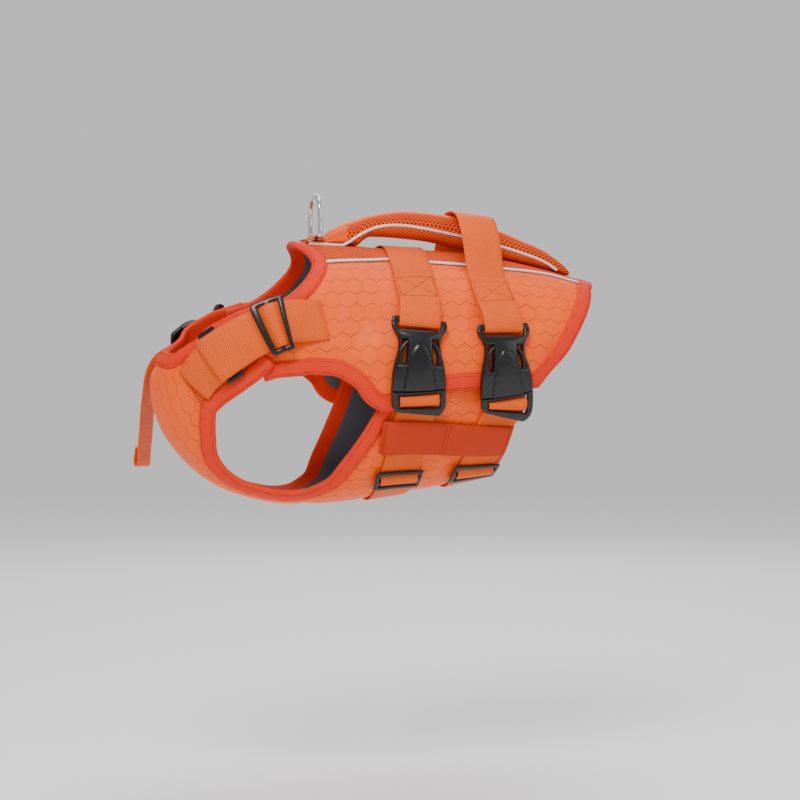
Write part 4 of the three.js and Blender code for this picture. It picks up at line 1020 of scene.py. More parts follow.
class Webbing:
    """Bands of woven webbing with soft edges."""

    across = 8
    step = 2.2

    @classmethod
    def section(cls, width: float) -> tuple[Array, Array]:
        """The ring of a band: sideways places and offsets across its thickness."""
        flat = np.linspace(-width / 2 + 0.7, width / 2 - 0.7, cls.across + 1)
        wide = np.concatenate([flat, [width / 2], flat[::-1], [-width / 2]])
        thick = np.concatenate([np.full(len(flat), WEBBING / 2), [0], np.full(len(flat), -WEBBING / 2), [0]])
        return wide, thick

    @classmethod
    def on_line(cls, name: str, line: Line, path: Path, width: float = WEBBING_WIDTH, finish: Finish = BAND,
                nodes: Sequence[str] = ()) -> bpy.types.Object:
        """A band that follows a path of distance and height along a line.

        Args:
            name: the piece's name.
            line: what it follows.
            path: distances and heights of its middle.
            width: how wide it is.
            finish: what it is made of.
            nodes: the nodes that it stands for.

        Returns:
            The band.
        """
        rough = smooth_curve(path, 400)
        total = float(np.linalg.norm(np.diff(rough, axis=0), axis=1).sum())
        spots = smooth_curve(path, int(total / cls.step))
        run = np.gradient(spots, axis=0)
        run /= np.linalg.norm(run, axis=1, keepdims=True)
        wide, thick = cls.section(width)
        d = spots[:, 0, None] - run[:, 1, None] * thick
        h = spots[:, 1, None] + run[:, 0, None] * thick
        points = line.place(d, np.broadcast_to(wide, d.shape), h)
        distance = np.linspace(0, total, len(spots))
        uv = np.stack(np.broadcast_arrays(wide[None], distance[:, None]), -1).reshape(-1, 2) * MM
        made = make_piece(name, points.reshape(-1, 3), tube_faces(len(spots), len(wide)), finish,
                          nodes, uv)
        return made

    @classmethod
    def in_space(cls, name: str, points: Array, axis: Callable[[Array], Array], width: float,
                 nodes: Sequence[str], held: str = "laid") -> bpy.types.Object:
        """A band that follows points in space, with its width along a turning axis."""
        rough = smooth_curve(points, 300)
        total = float(np.linalg.norm(np.diff(rough, axis=0), axis=1).sum())
        spots = smooth_curve(points, int(total / 1.5))
        run = np.gradient(spots, axis=0)
        run /= np.linalg.norm(run, axis=1, keepdims=True)
        turn = axis(np.linspace(0, 1, len(spots)))
        face = np.cross(run, turn)
        face /= np.linalg.norm(face, axis=1, keepdims=True)
        wide, thick = cls.section(width)
        ring = spots[:, None] + turn[:, None] * wide[None, :, None] + face[:, None] * thick[None, :, None]
        distance = np.linspace(0, total, len(spots))
        uv = np.stack(np.broadcast_arrays(wide[None], distance[:, None]), -1).reshape(-1, 2) * MM
        made = make_piece(name, ring.reshape(-1, 3), tube_faces(len(spots), len(wide)), BAND, nodes, uv)
        return made


def through_slide(d: float, rest: float) -> list[tuple[float, float]]:
    """How webbing at some rest height climbs over the middle bar of a slide."""
    half = [(17, 0), (12.5, 0), (10.5, 0.35), (7.4, 3.1), (4.3, 6.0), (2, 6.9)]
    return ([(d - x, rest + h) for x, h in half] + [(d, rest + 7.1)] + [(d + x, rest + h) for x, h in half[::-1]])


def fine_lines(breaks: Sequence[float], step: float) -> Array:
    """Grid lines at some breaks, crowded next to them and no further apart than a step."""
    low, high = breaks[0], breaks[-1]
    marks = {low, high}
    for b in breaks:
        marks |= {b + k for k in (0, -0.3, 0.3, -0.9, 0.9, -1.8, 1.8) if low <= b + k <= high}
    line = sorted(marks)
    full = [line[0]]
    for mark in line[1:]:
        gap = mark - full[-1]
        if gap < 0.12:
            continue
        count = max(1, math.ceil(gap / step))
        full += [full[-1] + gap * (k + 1) / count for k in range(count)]
    return np.array(full)


@dataclass
class Moulding:
    """A moulded fitting: a plate with openings, rounded at every edge, in its own length, width and height."""

    name: str
    rows: Sequence[float]
    columns: Sequence[float]
    half_width: Callable[[Array], Array]
    opening: Callable[[float, float], bool]
    top: Callable[[Array, Array], Array]
    bottom: Callable[[Array, Array], Array]
    radius: float = 1.8
    step: float = 2.0

    def make(self) -> bpy.types.Object:
        """Models the fitting flat, as a grid that is cut open, thickened and rounded."""
        lengths = fine_lines(self.rows, self.step)
        half = fine_lines(self.columns, self.step)
        widths = np.concatenate([-half[::-1], half[1:]]) if half[0] == 0 else np.concatenate([-half[::-1], half])
        reach = self.columns[-1]
        bpy.ops.object.select_all(action="DESELECT")
        bpy.ops.mesh.primitive_grid_add(x_subdivisions=len(lengths) - 1, y_subdivisions=len(widths) - 1, size=2)
        made = bpy.context.object
        made.name = self.name
        mesh = made.data
        spots = np.empty(len(mesh.vertices) * 3)
        mesh.vertices.foreach_get("co", spots)
        spots = spots.reshape(-1, 3)
        i = np.round((spots[:, 0] + 1) / 2 * (len(lengths) - 1)).astype(int)
        j = np.round((spots[:, 1] + 1) / 2 * (len(widths) - 1)).astype(int)
        d = lengths[i]
        w = widths[j] / reach * self.half_width(d)
        mesh.vertices.foreach_set("co", np.stack([d, w, np.zeros(len(d))], 1).ravel())
        bpy.ops.object.mode_set(mode="EDIT")
        bpy.ops.mesh.select_all(action="DESELECT")
        bpy.ops.object.mode_set(mode="OBJECT")
        for face in mesh.polygons:
            corners = list(face.vertices)
            centre = (float(d[corners].mean()), float(widths[j[corners]].mean()))
            face.select = self.opening(*centre)
        bpy.ops.object.mode_set(mode="EDIT")
        bpy.ops.mesh.select_mode(type="FACE")
        bpy.ops.mesh.delete(type="FACE")
        bpy.ops.mesh.select_mode(type="VERT")
        bpy.ops.mesh.select_all(action="SELECT")
        bpy.ops.mesh.extrude_region_move(TRANSFORM_OT_translate={"value": (0, 0, 1)})
        bpy.ops.object.mode_set(mode="OBJECT")
        self.round_off(mesh)
        bpy.ops.object.mode_set(mode="EDIT")
        bpy.ops.mesh.select_all(action="SELECT")
        bpy.ops.mesh.normals_make_consistent(inside=False)
        bpy.ops.object.mode_set(mode="OBJECT")
        return made

    def round_off(self, mesh: bpy.types.Mesh) -> None:
        """Gives both faces their heights, and rounds them towards every edge."""
        spots = np.empty(len(mesh.vertices) * 3)
        mesh.vertices.foreach_get("co", spots)
        spots = spots.reshape(-1, 3)
        flat = spots[:, :2]
        upper = spots[:, 2] > 0.5
        walls = [f for f in mesh.polygons if len({bool(upper[v]) for v in f.vertices}) == 2]
        border = flat[sorted({v for f in walls for v in f.vertices})]
        miss = np.min(np.linalg.norm(flat[:, None] - border[None], axis=2), axis=1)
        high = self.top(flat[:, 0], flat[:, 1])
        low = self.bottom(flat[:, 0], flat[:, 1])
        r = np.minimum(self.radius, (high - low) * 0.48)
        fall = r - np.sqrt(np.maximum(0, r**2 - np.maximum(0, r - miss) ** 2))
        spots[:, 2] = np.where(upper, high - fall, low + fall)
        mesh.vertices.foreach_set("co", spots.ravel())
        mesh.update()


def lay_on(made: bpy.types.Object, name: str, node: str, spot: Callable[[Array, Array, Array], Array]) -> None:
    """Copies a flat fitting with its own mesh and lays the copy on the body.

    Args:
        made: the flat fitting.
        name: the copy's name.
        node: the node that it stands for.
        spot: what turns length, width and height into places.
    """
    mesh = made.data.copy()
    flat = np.empty(len(mesh.vertices) * 3)
    mesh.vertices.foreach_get("co", flat)
    flat = flat.reshape(-1, 3)
    mesh.vertices.foreach_set("co", (spot(flat[:, 0], flat[:, 1], flat[:, 2]) * MM).ravel())
    copy = bpy.data.objects.new(name, mesh)
    bpy.context.scene.collection.objects.link(copy)
    bpy.ops.object.select_all(action="DESELECT")
    copy.select_set(True)
    bpy.context.view_layer.objects.active = copy
    bpy.ops.object.mode_set(mode="EDIT")
    bpy.ops.mesh.select_all(action="SELECT")
    bpy.ops.mesh.normals_make_consistent(inside=False)
    bpy.ops.object.mode_set(mode="OBJECT")
    bpy.ops.object.shade_smooth_by_angle(angle=math.radians(50))
    copy.select_set(False)
    dress(copy, PLASTIC, (node,))


class Buckle:
    """A side-release buckle for 50 mm webbing, modelled flat: a socket, and a plug with two prongs."""

    slot = 26.3
    socket_outline = ((0, 30.5), (2.5, 33), (7, 34), (12, 33.4), (17, 30.5), (23, 27), (30, 25.6), (38, 26),
                      (46, 28), (56, 30.8), (70, 33), (86, 34))
    tongue_start = 33.0
    tongue_half = 21.0

    def socket_width(self, d: Array) -> Array:
        """The socket's half width along its length."""
        table = smooth_curve(self.socket_outline, 120)
        return np.interp(d, table[:, 0], table[:, 1])

    def socket_open(self, d: float, w: float) -> bool:
        """Where the socket is open: the slot for the webbing, and a window on each side."""
        if 7 < d < 15 and abs(w) < self.slot:
            return True
        return 26 < d < 56 and 19.5 < abs(w) < 29.5

    def socket_top(self, d: Array, w: Array) -> Array:
        """The socket's crowned front, with its raised tongue and the groove round it."""
        reach = self.socket_width(d)
        crown = np.interp(d, [0, 6, 15, 22, 30, 48, 62, 80, 86], [25.6, 25.6, 28.2, 30.8, 31.6, 32.2, 32.4, 32, 31.4])
        crown = crown - 4.2 * (np.abs(w) / reach) ** 2.4 * smooth_step(8, 26, d)
        edge = self.tongue_half * np.sqrt(np.clip((d - self.tongue_start) / (86 - self.tongue_start), 0, 1)) ** 0.8
        inside = (edge - np.abs(w)) * (d > self.tongue_start)
        crown = crown + 1.3 * smooth_step(0, 1.6, inside) * (d > self.tongue_start)
        groove = np.exp(-((np.abs(edge - np.abs(w)) / 0.9) ** 2)) * (d > self.tongue_start + 1)
        return crown - 0.9 * groove

    def socket(self) -> bpy.types.Object:
        """Models the socket."""
        return Moulding(
            "socket_master", (0, 7, 15, 26, 56, 86), (0, 19.5, 26.3, 29.5, 34), self.socket_width, self.socket_open,
            self.socket_top, lambda d, w: np.interp(d, [0, 7, 15], [20.9, 20.9, 19.1]), radius=2.2, step=1.7).make()

    def plug_width(self, d: Array) -> Array:
        """The plug's half width, with rounded lower corners."""
        corner = np.clip((d - 103) / 13, 0, 1)
        return 23 + 11 * np.sqrt(np.maximum(0, 1 - corner**2)) ** 0.9

    def plug(self) -> bpy.types.Object:
        """Models the plug's frame with its cross-bar, and the prongs that show in the socket's windows."""
        made = Moulding(
            "plug_master", (86.5, 90.5, 95.5, 102, 107.5, 116), (0, 26.3, 34), self.plug_width,
            lambda d, w: (90.5 < d < 95.5 or 102 < d < 107.5) and abs(w) < self.slot,
            lambda d, w: np.where((d > 92) & (d < 104) & (np.abs(w) < 25.5), 26.2,
                                  29.2 - 2.2 * (np.abs(w) / 34) ** 2 - 2.6 * smooth_step(106, 116, d)),
            lambda d, w: np.where((d > 92) & (d < 104) & (np.abs(w) < 25.5), 22.2,
                                  20.6 + 1.2 * smooth_step(108, 116, d)), radius=2.0, step=1.8).make()
        parts = [made]
        for sign in (1, -1):
            route = smooth_curve([(84, 18), (70, 20.5), (58, 23.4), (48, 24.4), (40, 22.6), (33, 18.6), (29, 14.5)], 40)
            run = np.gradient(route, axis=0)
            run /= np.linalg.norm(run, axis=1, keepdims=True)
            turns = np.linspace(0, 2 * math.pi, 17)[:-1]
            swell = np.interp(route[:, 0], [29, 36, 48, 60, 84], [1.6, 2.4, 3.4, 2.6, 2.2])
            rings = []
            for t in turns:
                out = np.sign(math.cos(t)) * abs(math.cos(t)) ** 0.6 * swell
                rings.append(np.stack([route[:, 0] - run[:, 1] * out, (route[:, 1] + run[:, 0] * out) * sign,
                                       25.2 + 3.6 * np.sign(math.sin(t)) * abs(math.sin(t)) ** 0.6 * np.ones(41)], 1))
            points = np.stack(rings, 1).reshape(-1, 3)
            mesh = bpy.data.meshes.new("prong")
            mesh.from_pydata(points.tolist(), [], tube_faces(len(route), len(turns)))
            prong = bpy.data.objects.new("prong", mesh)
            bpy.context.scene.collection.objects.link(prong)
            parts.append(prong)
        bpy.ops.object.select_all(action="DESELECT")
        for part in parts:
            part.select_set(True)
        bpy.context.view_layer.objects.active = made
        bpy.ops.object.join()
        return made


class Slides:
    """Flat slides for 50 mm webbing: one with three bars and one with two."""

    slot = 26.3
    half = 31.5

    def corners(self, end: float) -> Callable[[Array], Array]:
        """Half widths of a plate with rounded corners."""
        return lambda d: self.half - 4 + 4 * np.sqrt(np.maximum(0, 1 - np.clip((np.abs(d) - end + 4) / 4, 0, 1) ** 2))

    def three_bar(self) -> bpy.types.Object:
        """Models a slide with three bars, with heights from the webbing's rest."""
        middle = lambda d, w: (np.abs(d) < 7) & (np.abs(w) < 26)
        return Moulding(
            "slide_master", (-17, -11, -3.5, 3.5, 11, 18.5), (0, 26.3, 31.5), self.corners(18),
            lambda d, w: 3.5 < abs(d) < 11 and abs(w) < self.slot,
            lambda d, w: np.where(middle(d, w), 4.8, 5.6), lambda d, w: np.where(middle(d, w), 0.2, 1.9),
            radius=1.7, step=1.8).make()

    def two_bar(self) -> bpy.types.Object:
        """Models a square loop."""
        return Moulding(
            "loop_master", (-12, -7, 7, 12), (0, 26.3, 31.5), self.corners(12),
            lambda d, w: abs(d) < 7 and abs(w) < self.slot, lambda d, w: np.full(d.shape, 2.7),
            lambda d, w: np.zeros(d.shape), radius=1.2, step=1.8).make()


class Girth:
    """Straps over the back and under the belly with their buckles, slides, keepers and box stitches."""

    front = [(0.452, 0), (0.450, 27), (0.457, 43), (0.465, 54), (0.463, 68), (0.467, 81.6), (0.473, 94.5),
             (0.480, 105.4), (0.477, 116), (0.476, 134), (0.478, 150), (0.478, 180)]
    rear = [(0.652, 0), (0.658, 20), (0.665, 38.8), (0.669, 47), (0.675, 54), (0.686, 69.6), (0.693, 84),
            (0.706, 98), (0.714, 108), (0.705, 118), (0.690, 134), (0.682, 150), (0.682, 180)]
    keeper = [(0.425, 117.8), (0.589, 123.5), (0.752, 129.8)]
    tops = {"front": 65.5, "rear": 68.0}
    slides = {"front": 146.0, "rear": 151.0}
    loop_rise = [(0, 60), (8, 57.5), (16, 44), (24, 29), (32, 16.5), (38, 11), (43, 10.2)]
    keeper_width = 44.0
    keeper_rest = BELLY_REST + WEBBING + 1.2

    def line(self, places: Path) -> Line:
        """The centre line from the right side over the spine to the left, under the belly and up again."""
        back = [(s, -deg) for s, deg in places[1:] if deg < 135][::-1]
        under = [(s, 360 - deg) for s, deg in places[1:-1] if 360 - deg < 290][::-1]
        return Line([*back, *places, *under], zero_deg=0.0)

    def make(self, buckle: Buckle, slides: Slides) -> None:
        """Makes both girth straps and all that is on them."""
        socket, plug, slide = buckle.socket(), buckle.plug(), slides.three_bar()
        for word, places in (("front", self.front), ("rear", self.rear)):
            line = self.line(places)
            top, under = line.reach(self.tops[word]), line.reach(180)
            end = [(-90, BACK_REST), (-72, 13), (-50, 14), (-25, 19.5), (-6, 26.6), (1, 27.4), (6, 27.4), (10, 25.2),
                   (10.8, 22), (9, 19.5), (3, 18.7), (-8, 16), (-30, 12), (-50, BACK_REST), (-68, BACK_REST)]
            end = [(top + d, h) for d, h in end]
            rise = [(line.reach(deg), h) for deg, h in self.loop_rise]
            half = [*rise, *end[1:]] if word == "rear" else [(0, BACK_REST), *end]
            path = [*((-d, h) for d, h in half[1:][::-1]), *half]
            Webbing.on_line(f"{word}_back_webbing", line, path, nodes=(f"{word}_girth_strap",))
            self.box_stitch(line, top)
            middle = line.reach(self.slides[word])
            hang = [(93, 20.5), (93, 25), (94.6, 27.7), (98.7, 28.6), (102.8, 27.7), (104.6, 25), (104.9, 22.5),
                    (106.8, 19.8), (112, 18.4), (119, 14.6), (127, BELLY_REST + 0.6)]
            hang = [*((top + d, h) for d, h in hang), *through_slide(middle, BELLY_REST), (under, BELLY_REST)]
            belly = [*hang, *((2 * under - d, h) for d, h in hang[:-1][::-1])]
            Webbing.on_line(f"{word}_belly_webbing", line, belly, nodes=(f"{word}_belly_strap",))
            for side in Side:
                sign = side.value
                over = lambda d, w, h: line.place(sign * (top + d), w, h)
                lay_on(socket, f"{word}_buckle_socket_{side.word}", f"{word}_socket_{side.word}", over)
                lay_on(plug, f"{word}_buckle_plug_{side.word}", f"{word}_plug_{side.word}", over)
                at = middle if side is Side.LEFT else 2 * under - middle
                below = lambda d, w, h: line.place(at + d, w, h + BELLY_REST)
                lay_on(slide, f"{word}_slide_{side.word}", f"{word}_belly_slide_{side.word}", below)
        for side in Side:
            self.keeper_band(side)
        for master in (socket, plug, slide):
            bpy.data.objects.remove(master)

    def box_stitch(self, line: Line, top: float) -> None:
        """A sewn box with a cross on both ends of a strap over the back."""
        low, high, wide = top - 64, top - 32, 22.0
        outer = smooth_curve([(top - 90, BACK_REST), (top - 72, 13), (top - 50, 14), (top - 25, 19.5),
                              (top - 6, 26.6)], 80)
        rows = [((low, -wide), (low, wide)), ((high, -wide), (high, wide)), ((low, -wide), (high, -wide)),
                ((low, wide), (high, wide)), ((low, -wide), (high, wide)), ((low, wide), (high, -wide))]
        for (d0, w0), (d1, w1) in rows:
            f = np.linspace(0, 1, 24)
            d, w = d0 + (d1 - d0) * f, w0 + (w1 - w0) * f
            h = np.interp(d, outer[:, 0], outer[:, 1]) + WEBBING / 2 + 0.15
            for sign in (1, -1):
                spots = line.place(sign * d, w, h)
                STITCHES.row(spots, line.place(sign * d, w, h + 1) - spots)

    def keeper_band(self, side: Side) -> None:
        """A flat band sewn over both belly straps, with a seam across its middle."""
        places = self.keeper if side is Side.LEFT else [(s, 360 - deg) for s, deg in self.keeper]
        line = Line(places)
        rest = self.keeper_rest
        path = [(0, BELLY_REST), (4.5, rest), (line.length / 2, rest), (line.length, rest)]
        # Its darker colour is painted shade from under the belly.
        Webbing.on_line(f"keeper_{side.word}", line, path, self.keeper_width, SHADED_KEEPER_BAND,
                        (f"keeper_band_{side.word}",))
        wide = np.linspace(-20, 20, 20)
        for d in (3.0, line.length * 0.47, line.length * 0.5, line.length - 4):
            spots = line.place(np.full(20, d), wide, np.full(20, rest + WEBBING / 2 + 0.05))
            STITCHES.row(spots, line.place(np.full(20, d), wide, np.full(20, rest + 2)) - spots)


class Shoulders:
    """Shoulder webbing: slides on the left, a quick-release buckle and a hanging end on the right."""

    centre = [(0.238, 68), (0.205, 72), (0.175, 76.5), (0.150, 83), (0.133, 91), (0.121, 101), (0.114, 112),
              (0.112, 122), (0.118, 132)]
    quick_top = 74.0
    shrink = 0.72
    raised = 2.2
    tail = [(-345, 121, -143), (-356, 125, -157), (-363, 126, -182), (-367, 125, -225), (-370, 124, -256),
            (-370.6, 123.4, -267), (-372.6, 123, -270.6), (-374.6, 122.8, -267), (-373.6, 123.4, -254),
            (-372.4, 123.6, -246)]

    def make(self, buckle: Buckle, slides: Slides) -> None:
        """Makes both shoulders."""
        self.left(slides)
        self.right(buckle)

    def left(self, slides: Slides) -> None:
        """The strap from the saddle through a slide to a loop, and the chest strap from the loop."""
        line = Line(self.centre)
        adjust, loop, seam = line.reach(83), line.reach(110), line.length
        Webbing.on_line("left_shoulder_webbing", line, [
            (0, BELLY_REST), (12, 12), (adjust - 26, 18.5), *through_slide(adjust, PAD_REST),
            (adjust + 21, PAD_REST + 2.2), (adjust + 28, 28.4), (loop, 29.8), (loop + 8, 29.6), (loop + 14, 28.4),
            (loop + 16.4, 25), (loop + 14, 21.8), (loop + 8, 21.2), (loop + 3, 22.4)],
            nodes=("shoulder_strap_left",))
        Webbing.on_line("left_chest_webbing", line, [
            (seam, BELLY_REST), (seam - 10, 12), (loop + 18, 17.4), (loop + 10, 19.1), (loop, 20.2), (loop - 8, 20.6),
            (loop - 13.5, 21.4), (loop - 15, 24), (loop - 13, 26.4), (loop - 9, 26.9), (loop - 4, 26.8)],
            nodes=("chest_strap_left",))
        bar, square = slides.three_bar(), slides.two_bar()
        lay_on(bar, "left_shoulder_slide", "shoulder_slide_left",
               lambda d, w, h: line.place(adjust + d, w, h + PAD_REST))
        lay_on(square, "left_shoulder_loop", "shoulder_loop_left", lambda d, w, h: line.place(loop + d, w, h + 22.8))
        self.seam(line)
        wide = np.linspace(-22, 22, 20)
        for d, h in ((3.0, 11.8), (5.5, 11.9), (seam - 3, 11.8), (seam - 5.5, 11.9), (adjust + 47, 30.3)):
            spots = line.place(np.full(20, d), wide, np.full(20, h))
            STITCHES.row(spots, line.place(np.full(20, d), wide, np.full(20, h + 1)) - spots)
        for master in (bar, square):
            bpy.data.objects.remove(master)

    @staticmethod
    def seam(line: Line) -> None:
        """The bright seam that catches the strap's end, from the neck tape to the armhole tape."""
        wide = np.linspace(-50, 47, 50)
        for d in (-1.4,):
            spots = line.place(np.full(50, d), wide, np.full(50, WALL_OUT - 0.9))
            SEAMS.row(spots, line.place(np.full(50, d), wide, np.full(50, float(WALL_OUT))) - spots)

    def right(self, buckle: Buckle) -> None:
        """The strap to a small quick-release buckle, the chest strap, and the end that hangs from it."""
        line = Line([(s, -deg) for s, deg in self.centre])
        self.seam(line)
        top, k = self.quick_top, self.shrink
        bar, end, seam = top + 98.7 * k, top + 116 * k, line.length
        Webbing.on_line("right_shoulder_webbing", line, [
            (0, BELLY_REST), (14, 12), (30, 18.5), (46, 22), (top - 8, 28.8), (top, 31), (top + 4, 30.6),
            (top + 7.8, 27.6), (top + 8, 23.4), (top + 6.2, 20.9), (top, 20.4), (top - 16, 20.2)],
            nodes=("shoulder_strap_right",))
        Webbing.on_line("right_chest_webbing", line, [
            (bar - 4.1, 23.4), (bar - 4.2, 28), (bar - 3, 31.2), (bar, 31.9), (bar + 3.1, 31.2), (bar + 4.4, 28),
            (bar + 4.4, 23.8), (bar + 6, 20.8), (end, 19.9), (end + 8, 17.6), (seam - 12, 13), (seam, BELLY_REST)],
            nodes=("chest_strap_right",))
        over = lambda d, w, h: line.place(top + d * k, w, h + self.raised)
        for master, word in ((buckle.socket(), "socket"), (buckle.plug(), "plug")):
            lay_on(master, f"right_shoulder_{word}", f"shoulder_{word}_right", over)
            bpy.data.objects.remove(master)
        starts = line.place(np.array([bar - 4, bar + 6]), np.zeros(2), np.array([34.1, 34.6]))
        Webbing.in_space("hanging_end", np.vstack([starts, self.tail]), self.tail_axis, WEBBING_WIDTH,
                         ("strap_tail_right",), "hung")

    @staticmethod
    def tail_axis(part: Array) -> Array:
        """The hanging end's width: along the buckle at its top, and level lower down."""
        f = smooth_step(0.05, 0.45, part)[:, None]
        axis = np.array([-0.52, -0.32, 0.79]) * (1 - f) + np.array([-0.47, -0.88, 0.06]) * f
        return axis / np.linalg.norm(axis, axis=1, keepdims=True)


class Handle:
    """The padded carrying handle on the spine, with reflective piping along both sides."""

    half = 21.0
    tops = [(-160, 22), (-150, 33), (-135, 41), (-120, 46.5), (-108, 50.5), (-99, 53.3), (-80, 57.3), (-56, 60),
            (-16, 57.5), (10, 54.2), (37, 47.5), (60, 40), (78, 35), (105, 24), (131, 13), (150, 1), (160, -7),
            (167, -15)]
    arch = [(-113, 16), (-108, 21), (-99, 26), (-80, 26.5), (-56, 25), (-16, 20.5), (10, 14.5), (37, 9.5), (58, 6)]
    piping = [(-181, 10), (-160, 12), (-142, 13), (-131, 17.5), (-112, 29.5), (-92, 38), (-62, 41), (18, 28),
              (85, 12), (132, -4), (150, -15)]

    @staticmethod
    def surface(x: Array, y: Array, height: float) -> Array:
        """How high the spine strip's outside is at some places."""
        s, deg = (x + 196) / 396, np.zeros(np.shape(x))
        for _ in range(14):
            miss = FORM.skin(s, deg, np.full(np.shape(s), height))
            s = s + (x - miss[..., 0]) / 400
            deg = deg + (miss[..., 1] - y) / 2.4
        return FORM.skin(s, deg, np.full(np.shape(s), height))[..., 2]

    def make(self) -> None:
        """Makes the handle as one rounded loft: mesh at its sides and below, smooth cloth on top."""
        x = np.linspace(-161, 167, 130)
        crown = np.interp(x, *smooth_curve(self.tops, 300).T)
        turns = np.linspace(0, 2 * math.pi, 41)[:-1]
        across = np.sign(np.sin(turns)) * np.abs(np.sin(turns)) ** 0.62 * self.half
        rise = np.sign(np.cos(turns)) * np.abs(np.cos(turns)) ** 0.62
        free = (x > -113) & (x < 58)
        vault = np.interp(x, *smooth_curve(self.arch, 200).T)
        rings = []
        for k, (c, up) in enumerate(zip(across, rise)):
            rest = self.surface(x, np.full(len(x), c), WALL_OUT + 0.6)
            floor = np.where(free, np.maximum(vault, rest), rest)
            f = (up + 1) / 2
            z = floor + (crown - floor) * f
            pinch = 1 - 0.10 * np.exp(-(((f - 0.5) / 0.07) ** 2))
            rings.append(np.stack([x, np.full(len(x), c) * pinch, z], 1))
        points = np.stack(rings, 1)
        flat = points.reshape(-1, 3)
        round_it = np.concatenate([[0], np.cumsum(np.full(39, 3.3))])
        uv = np.stack(np.broadcast_arrays(x[:, None], round_it[None]), -1).reshape(-1, 2) * MM
        made = make_piece("padded_handle", flat, tube_faces(len(x), len(turns)), AIR_MESH, ("handle",), uv)
        made.data.materials.append(SMOOTH_CLOTH.material())
        for face in made.data.polygons:
            rows = [v % len(turns) for v in face.vertices]
            front = x[min(face.vertices) // len(turns)] < -132
            if len(rows) == 4 and (front or all(rise[r] > 0.72 for r in rows)):
                face.material_index = 1
        for side in Side:
            route = smooth_curve([(px, -side.value * (self.half - 0.4), pz) for px, pz in self.piping], 130)
            low = self.surface(route[:, 0], route[:, 1], WALL_OUT + 1.2)
            route[:, 2] = np.where(route[:, 0] < -128, np.maximum(route[:, 2], low), route[:, 2])
            turn = np.linspace(0, 2 * math.pi, 11)[:-1]
            run = np.gradient(route, axis=0)
            run /= np.linalg.norm(run, axis=1, keepdims=True)
            up = np.stack([-run[:, 2], np.zeros(len(run)), run[:, 0]], 1)
            tube = [route + up * 1.9 * math.cos(t) + np.array([0, 1.7 * math.sin(t), 0]) for t in turn]
            cord = np.stack(tube, 1).reshape(-1, 3)
            make_piece(f"handle_trim_{side.word}", cord, tube_faces(len(route), 10), PIPING,
                       (f"handle_piping_{side.word}",), cloth_map(cord))


class LeashRing:
    """The steel ring that stands in front of the handle, and the webbing tab that holds it."""

    x = -168.0
    bar = 23.0
    wire = 3.0
    half_span = 28.0
    corner = 6.0
    leg = 30.0
    top = 77.0

    def outline(self) -> Array:
        """The middle of the wire, once round."""
        right = [(0, 0), (14, 0), (self.half_span - self.corner, 0), (self.half_span - 1.7, 1.7),
                 (self.half_span, self.corner), (self.half_span, 18), (self.half_span, self.leg),
                 (25.5, 41.5), (18.5, 50), (9.5, 53.5), (0, 54)]
        left = [(-y, z) for y, z in right[1:-1]][::-1]
        loop = smooth_curve([*right, *left, right[0]], 160)[:-1]
        return np.stack([np.full(len(loop), self.x), loop[:, 0], loop[:, 1] + self.bar], 1)

    def make(self) -> None:
        """Makes the ring from a torus, drawn out to its outline, and the tab."""
        path = self.outline()
        bpy.ops.object.select_all(action="DESELECT")
        bpy.ops.mesh.primitive_torus_add(major_segments=len(path), minor_segments=20, major_radius=30,
                                         minor_radius=self.wire)
        made = bpy.context.object
        made.name = "steel_ring"
        spots = np.empty(len(made.data.vertices) * 3)
        made.data.vertices.foreach_get("co", spots)
        spots = spots.reshape(-1, 3)
        turn = np.round((np.arctan2(spots[:, 1], spots[:, 0]) % (2 * math.pi)) / (2 * math.pi) * len(path)).astype(int)
        turn %= len(path)
        out = np.hypot(spots[:, 0], spots[:, 1]) - 30
        run = np.roll(path, -1, 0) - np.roll(path, 1, 0)
        run /= np.linalg.norm(run, axis=1, keepdims=True)
        away = np.stack([np.zeros(len(run)), run[:, 2], -run[:, 1]], 1)
        ring = path[turn] + away[turn] * out[:, None] + np.array([1.0, 0, 0]) * spots[:, 2:3]
        made.data.vertices.foreach_set("co", (ring * MM).ravel())
        bpy.ops.object.mode_set(mode="EDIT")
        bpy.ops.mesh.select_all(action="SELECT")
        bpy.ops.mesh.normals_make_consistent(inside=False)
        bpy.ops.object.mode_set(mode="OBJECT")
        bpy.ops.object.shade_smooth()
        made.select_set(False)
        dress(made, STEEL, ("d_ring",), "ring")
        x = np.array([-184.0, -176.0, -169.0])
        low = Handle.surface(x, np.zeros(3), WALL_OUT + 1.25)
        loop = [*zip(x, low), (-164.8, 19.8), (-163.5, 23), (-164.8, 26.2), (-168, 27.6), (-171.6, 26.2),
                (-174.4, 23.4), (-179, 21.7), (-184, 21.7)]
        points = np.array([(px, 0.0, pz) for px, pz in loop])
        Webbing.in_space("webbing_tab", points, lambda f: np.tile([0.0, 1.0, 0.0], (len(f), 1)), 46.0, ("ring_tab",),
                         "folded")


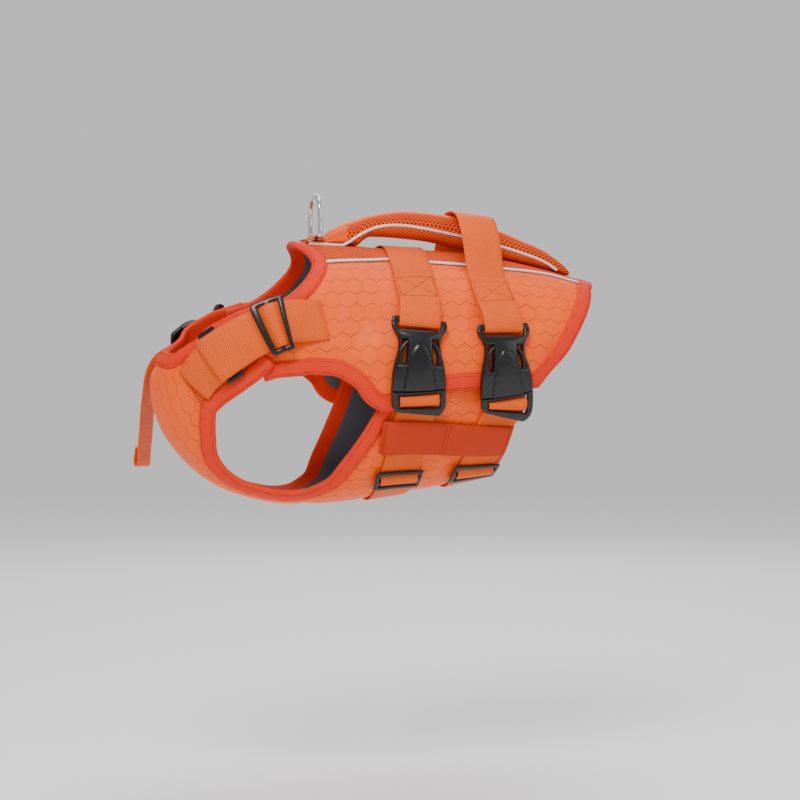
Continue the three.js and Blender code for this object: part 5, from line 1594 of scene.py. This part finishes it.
class Studio:
    """The camera at the photograph's angle, a pale floor that curves up, and soft light."""

    azimuth = math.radians(-15)
    elevation = math.radians(2)
    distance = 2.8
    lens = 97.65
    target = np.array([-0.056, 0.0, -0.183])
    floor = -0.69

    def camera(self) -> None:
        """Places the camera."""
        back = np.array([math.sin(self.azimuth) * math.cos(self.elevation),
                         -math.cos(self.azimuth) * math.cos(self.elevation), math.sin(self.elevation)])
        data = bpy.data.cameras.new("camera")
        data.lens = self.lens
        data.clip_end = 60
        made = bpy.data.objects.new("camera", data)
        bpy.context.scene.collection.objects.link(made)
        made.location = self.target + back * self.distance
        made.rotation_euler = (math.pi / 2 - self.elevation, 0, self.azimuth)
        bpy.context.scene.camera = made

    def backdrop(self) -> None:
        """Makes the floor: a wide disc whose rim curves up."""
        radii = [0.0, 2.0, 5.0, 6.0, 7.0, 7.8, 8.3, 8.6, 8.7]
        heights = [0.0, 0.0, 0.0, 0.08, 0.35, 0.9, 1.7, 2.8, 5.0]
        turns = np.linspace(0, 2 * math.pi, 97)[:-1]
        points = [(r * math.cos(t), r * math.sin(t), h + self.floor) for r, h in zip(radii[1:], heights[1:])
                  for t in turns]
        points.append((0, 0, self.floor))
        faces = [[i * 96 + j, (i + 1) * 96 + j, (i + 1) * 96 + (j + 1) % 96, i * 96 + (j + 1) % 96]
                 for i in range(len(radii) - 2) for j in range(96)]
        faces += [[len(points) - 1, j, (j + 1) % 96] for j in range(96)]
        mesh = bpy.data.meshes.new("floor")
        mesh.from_pydata(points, [], faces)
        mesh.polygons.foreach_set("use_smooth", np.ones(len(mesh.polygons), dtype=bool))
        made = bpy.data.objects.new("floor", mesh)
        bpy.context.scene.collection.objects.link(made)
        paper = bpy.data.materials.new("pale_paper")
        paper.use_nodes = True
        shader = paper.node_tree.nodes["Principled BSDF"]
        shader.inputs["Base Color"].default_value = (0.93, 0.93, 0.93, 1)
        shader.inputs["Roughness"].default_value = 0.9
        mesh.materials.append(paper)

    def lights(self) -> None:
        """Adds the soft boxes and the sky."""
        world = bpy.data.worlds.new("sky")
        world.use_nodes = True
        world.node_tree.nodes["Background"].inputs[0].default_value = (1, 1, 1, 1)
        world.node_tree.nodes["Background"].inputs[1].default_value = 0.62
        bpy.context.scene.world = world
        boxes = [("key", (-1.3, -2.4, 2.3), 1.2, 108), ("fill", (2.2, -2.3, 0.9), 1.8, 20),
                 ("top", (0.2, 0.3, 2.6), 1.6, 40), ("rim", (0.8, 2.6, 1.2), 1.6, 22)]
        for name, spot, size, power in boxes:
            data = bpy.data.lights.new(name, "AREA")
            data.size = size
            data.energy = power
            made = bpy.data.objects.new(name, data)
            bpy.context.scene.collection.objects.link(made)
            made.location = spot
            away = np.array(spot) - np.array([-0.05, 0, -0.12])
            flat = math.hypot(away[0], away[1])
            made.rotation_euler = (math.atan2(flat, away[2]), 0, math.atan2(away[1], away[0]) + math.pi / 2)

    def make(self) -> None:
        """Makes all of it."""
        self.camera()
        self.backdrop()
        self.lights()


def main() -> None:
    """Builds the jacket and the studio."""
    logging.basicConfig(level=logging.INFO, format="%(message)s")
    Studio().make()
    Saddle().make()
    Front().make()
    buckle, slides = Buckle(), Slides()
    Girth().make(buckle, slides)
    Shoulders().make(buckle, slides)
    Handle().make()
    LeashRing().make()
    SEAMS.make("seam_stitching")
    STITCHES.make("dark_stitching")


if __name__ == "__main__":
    main()
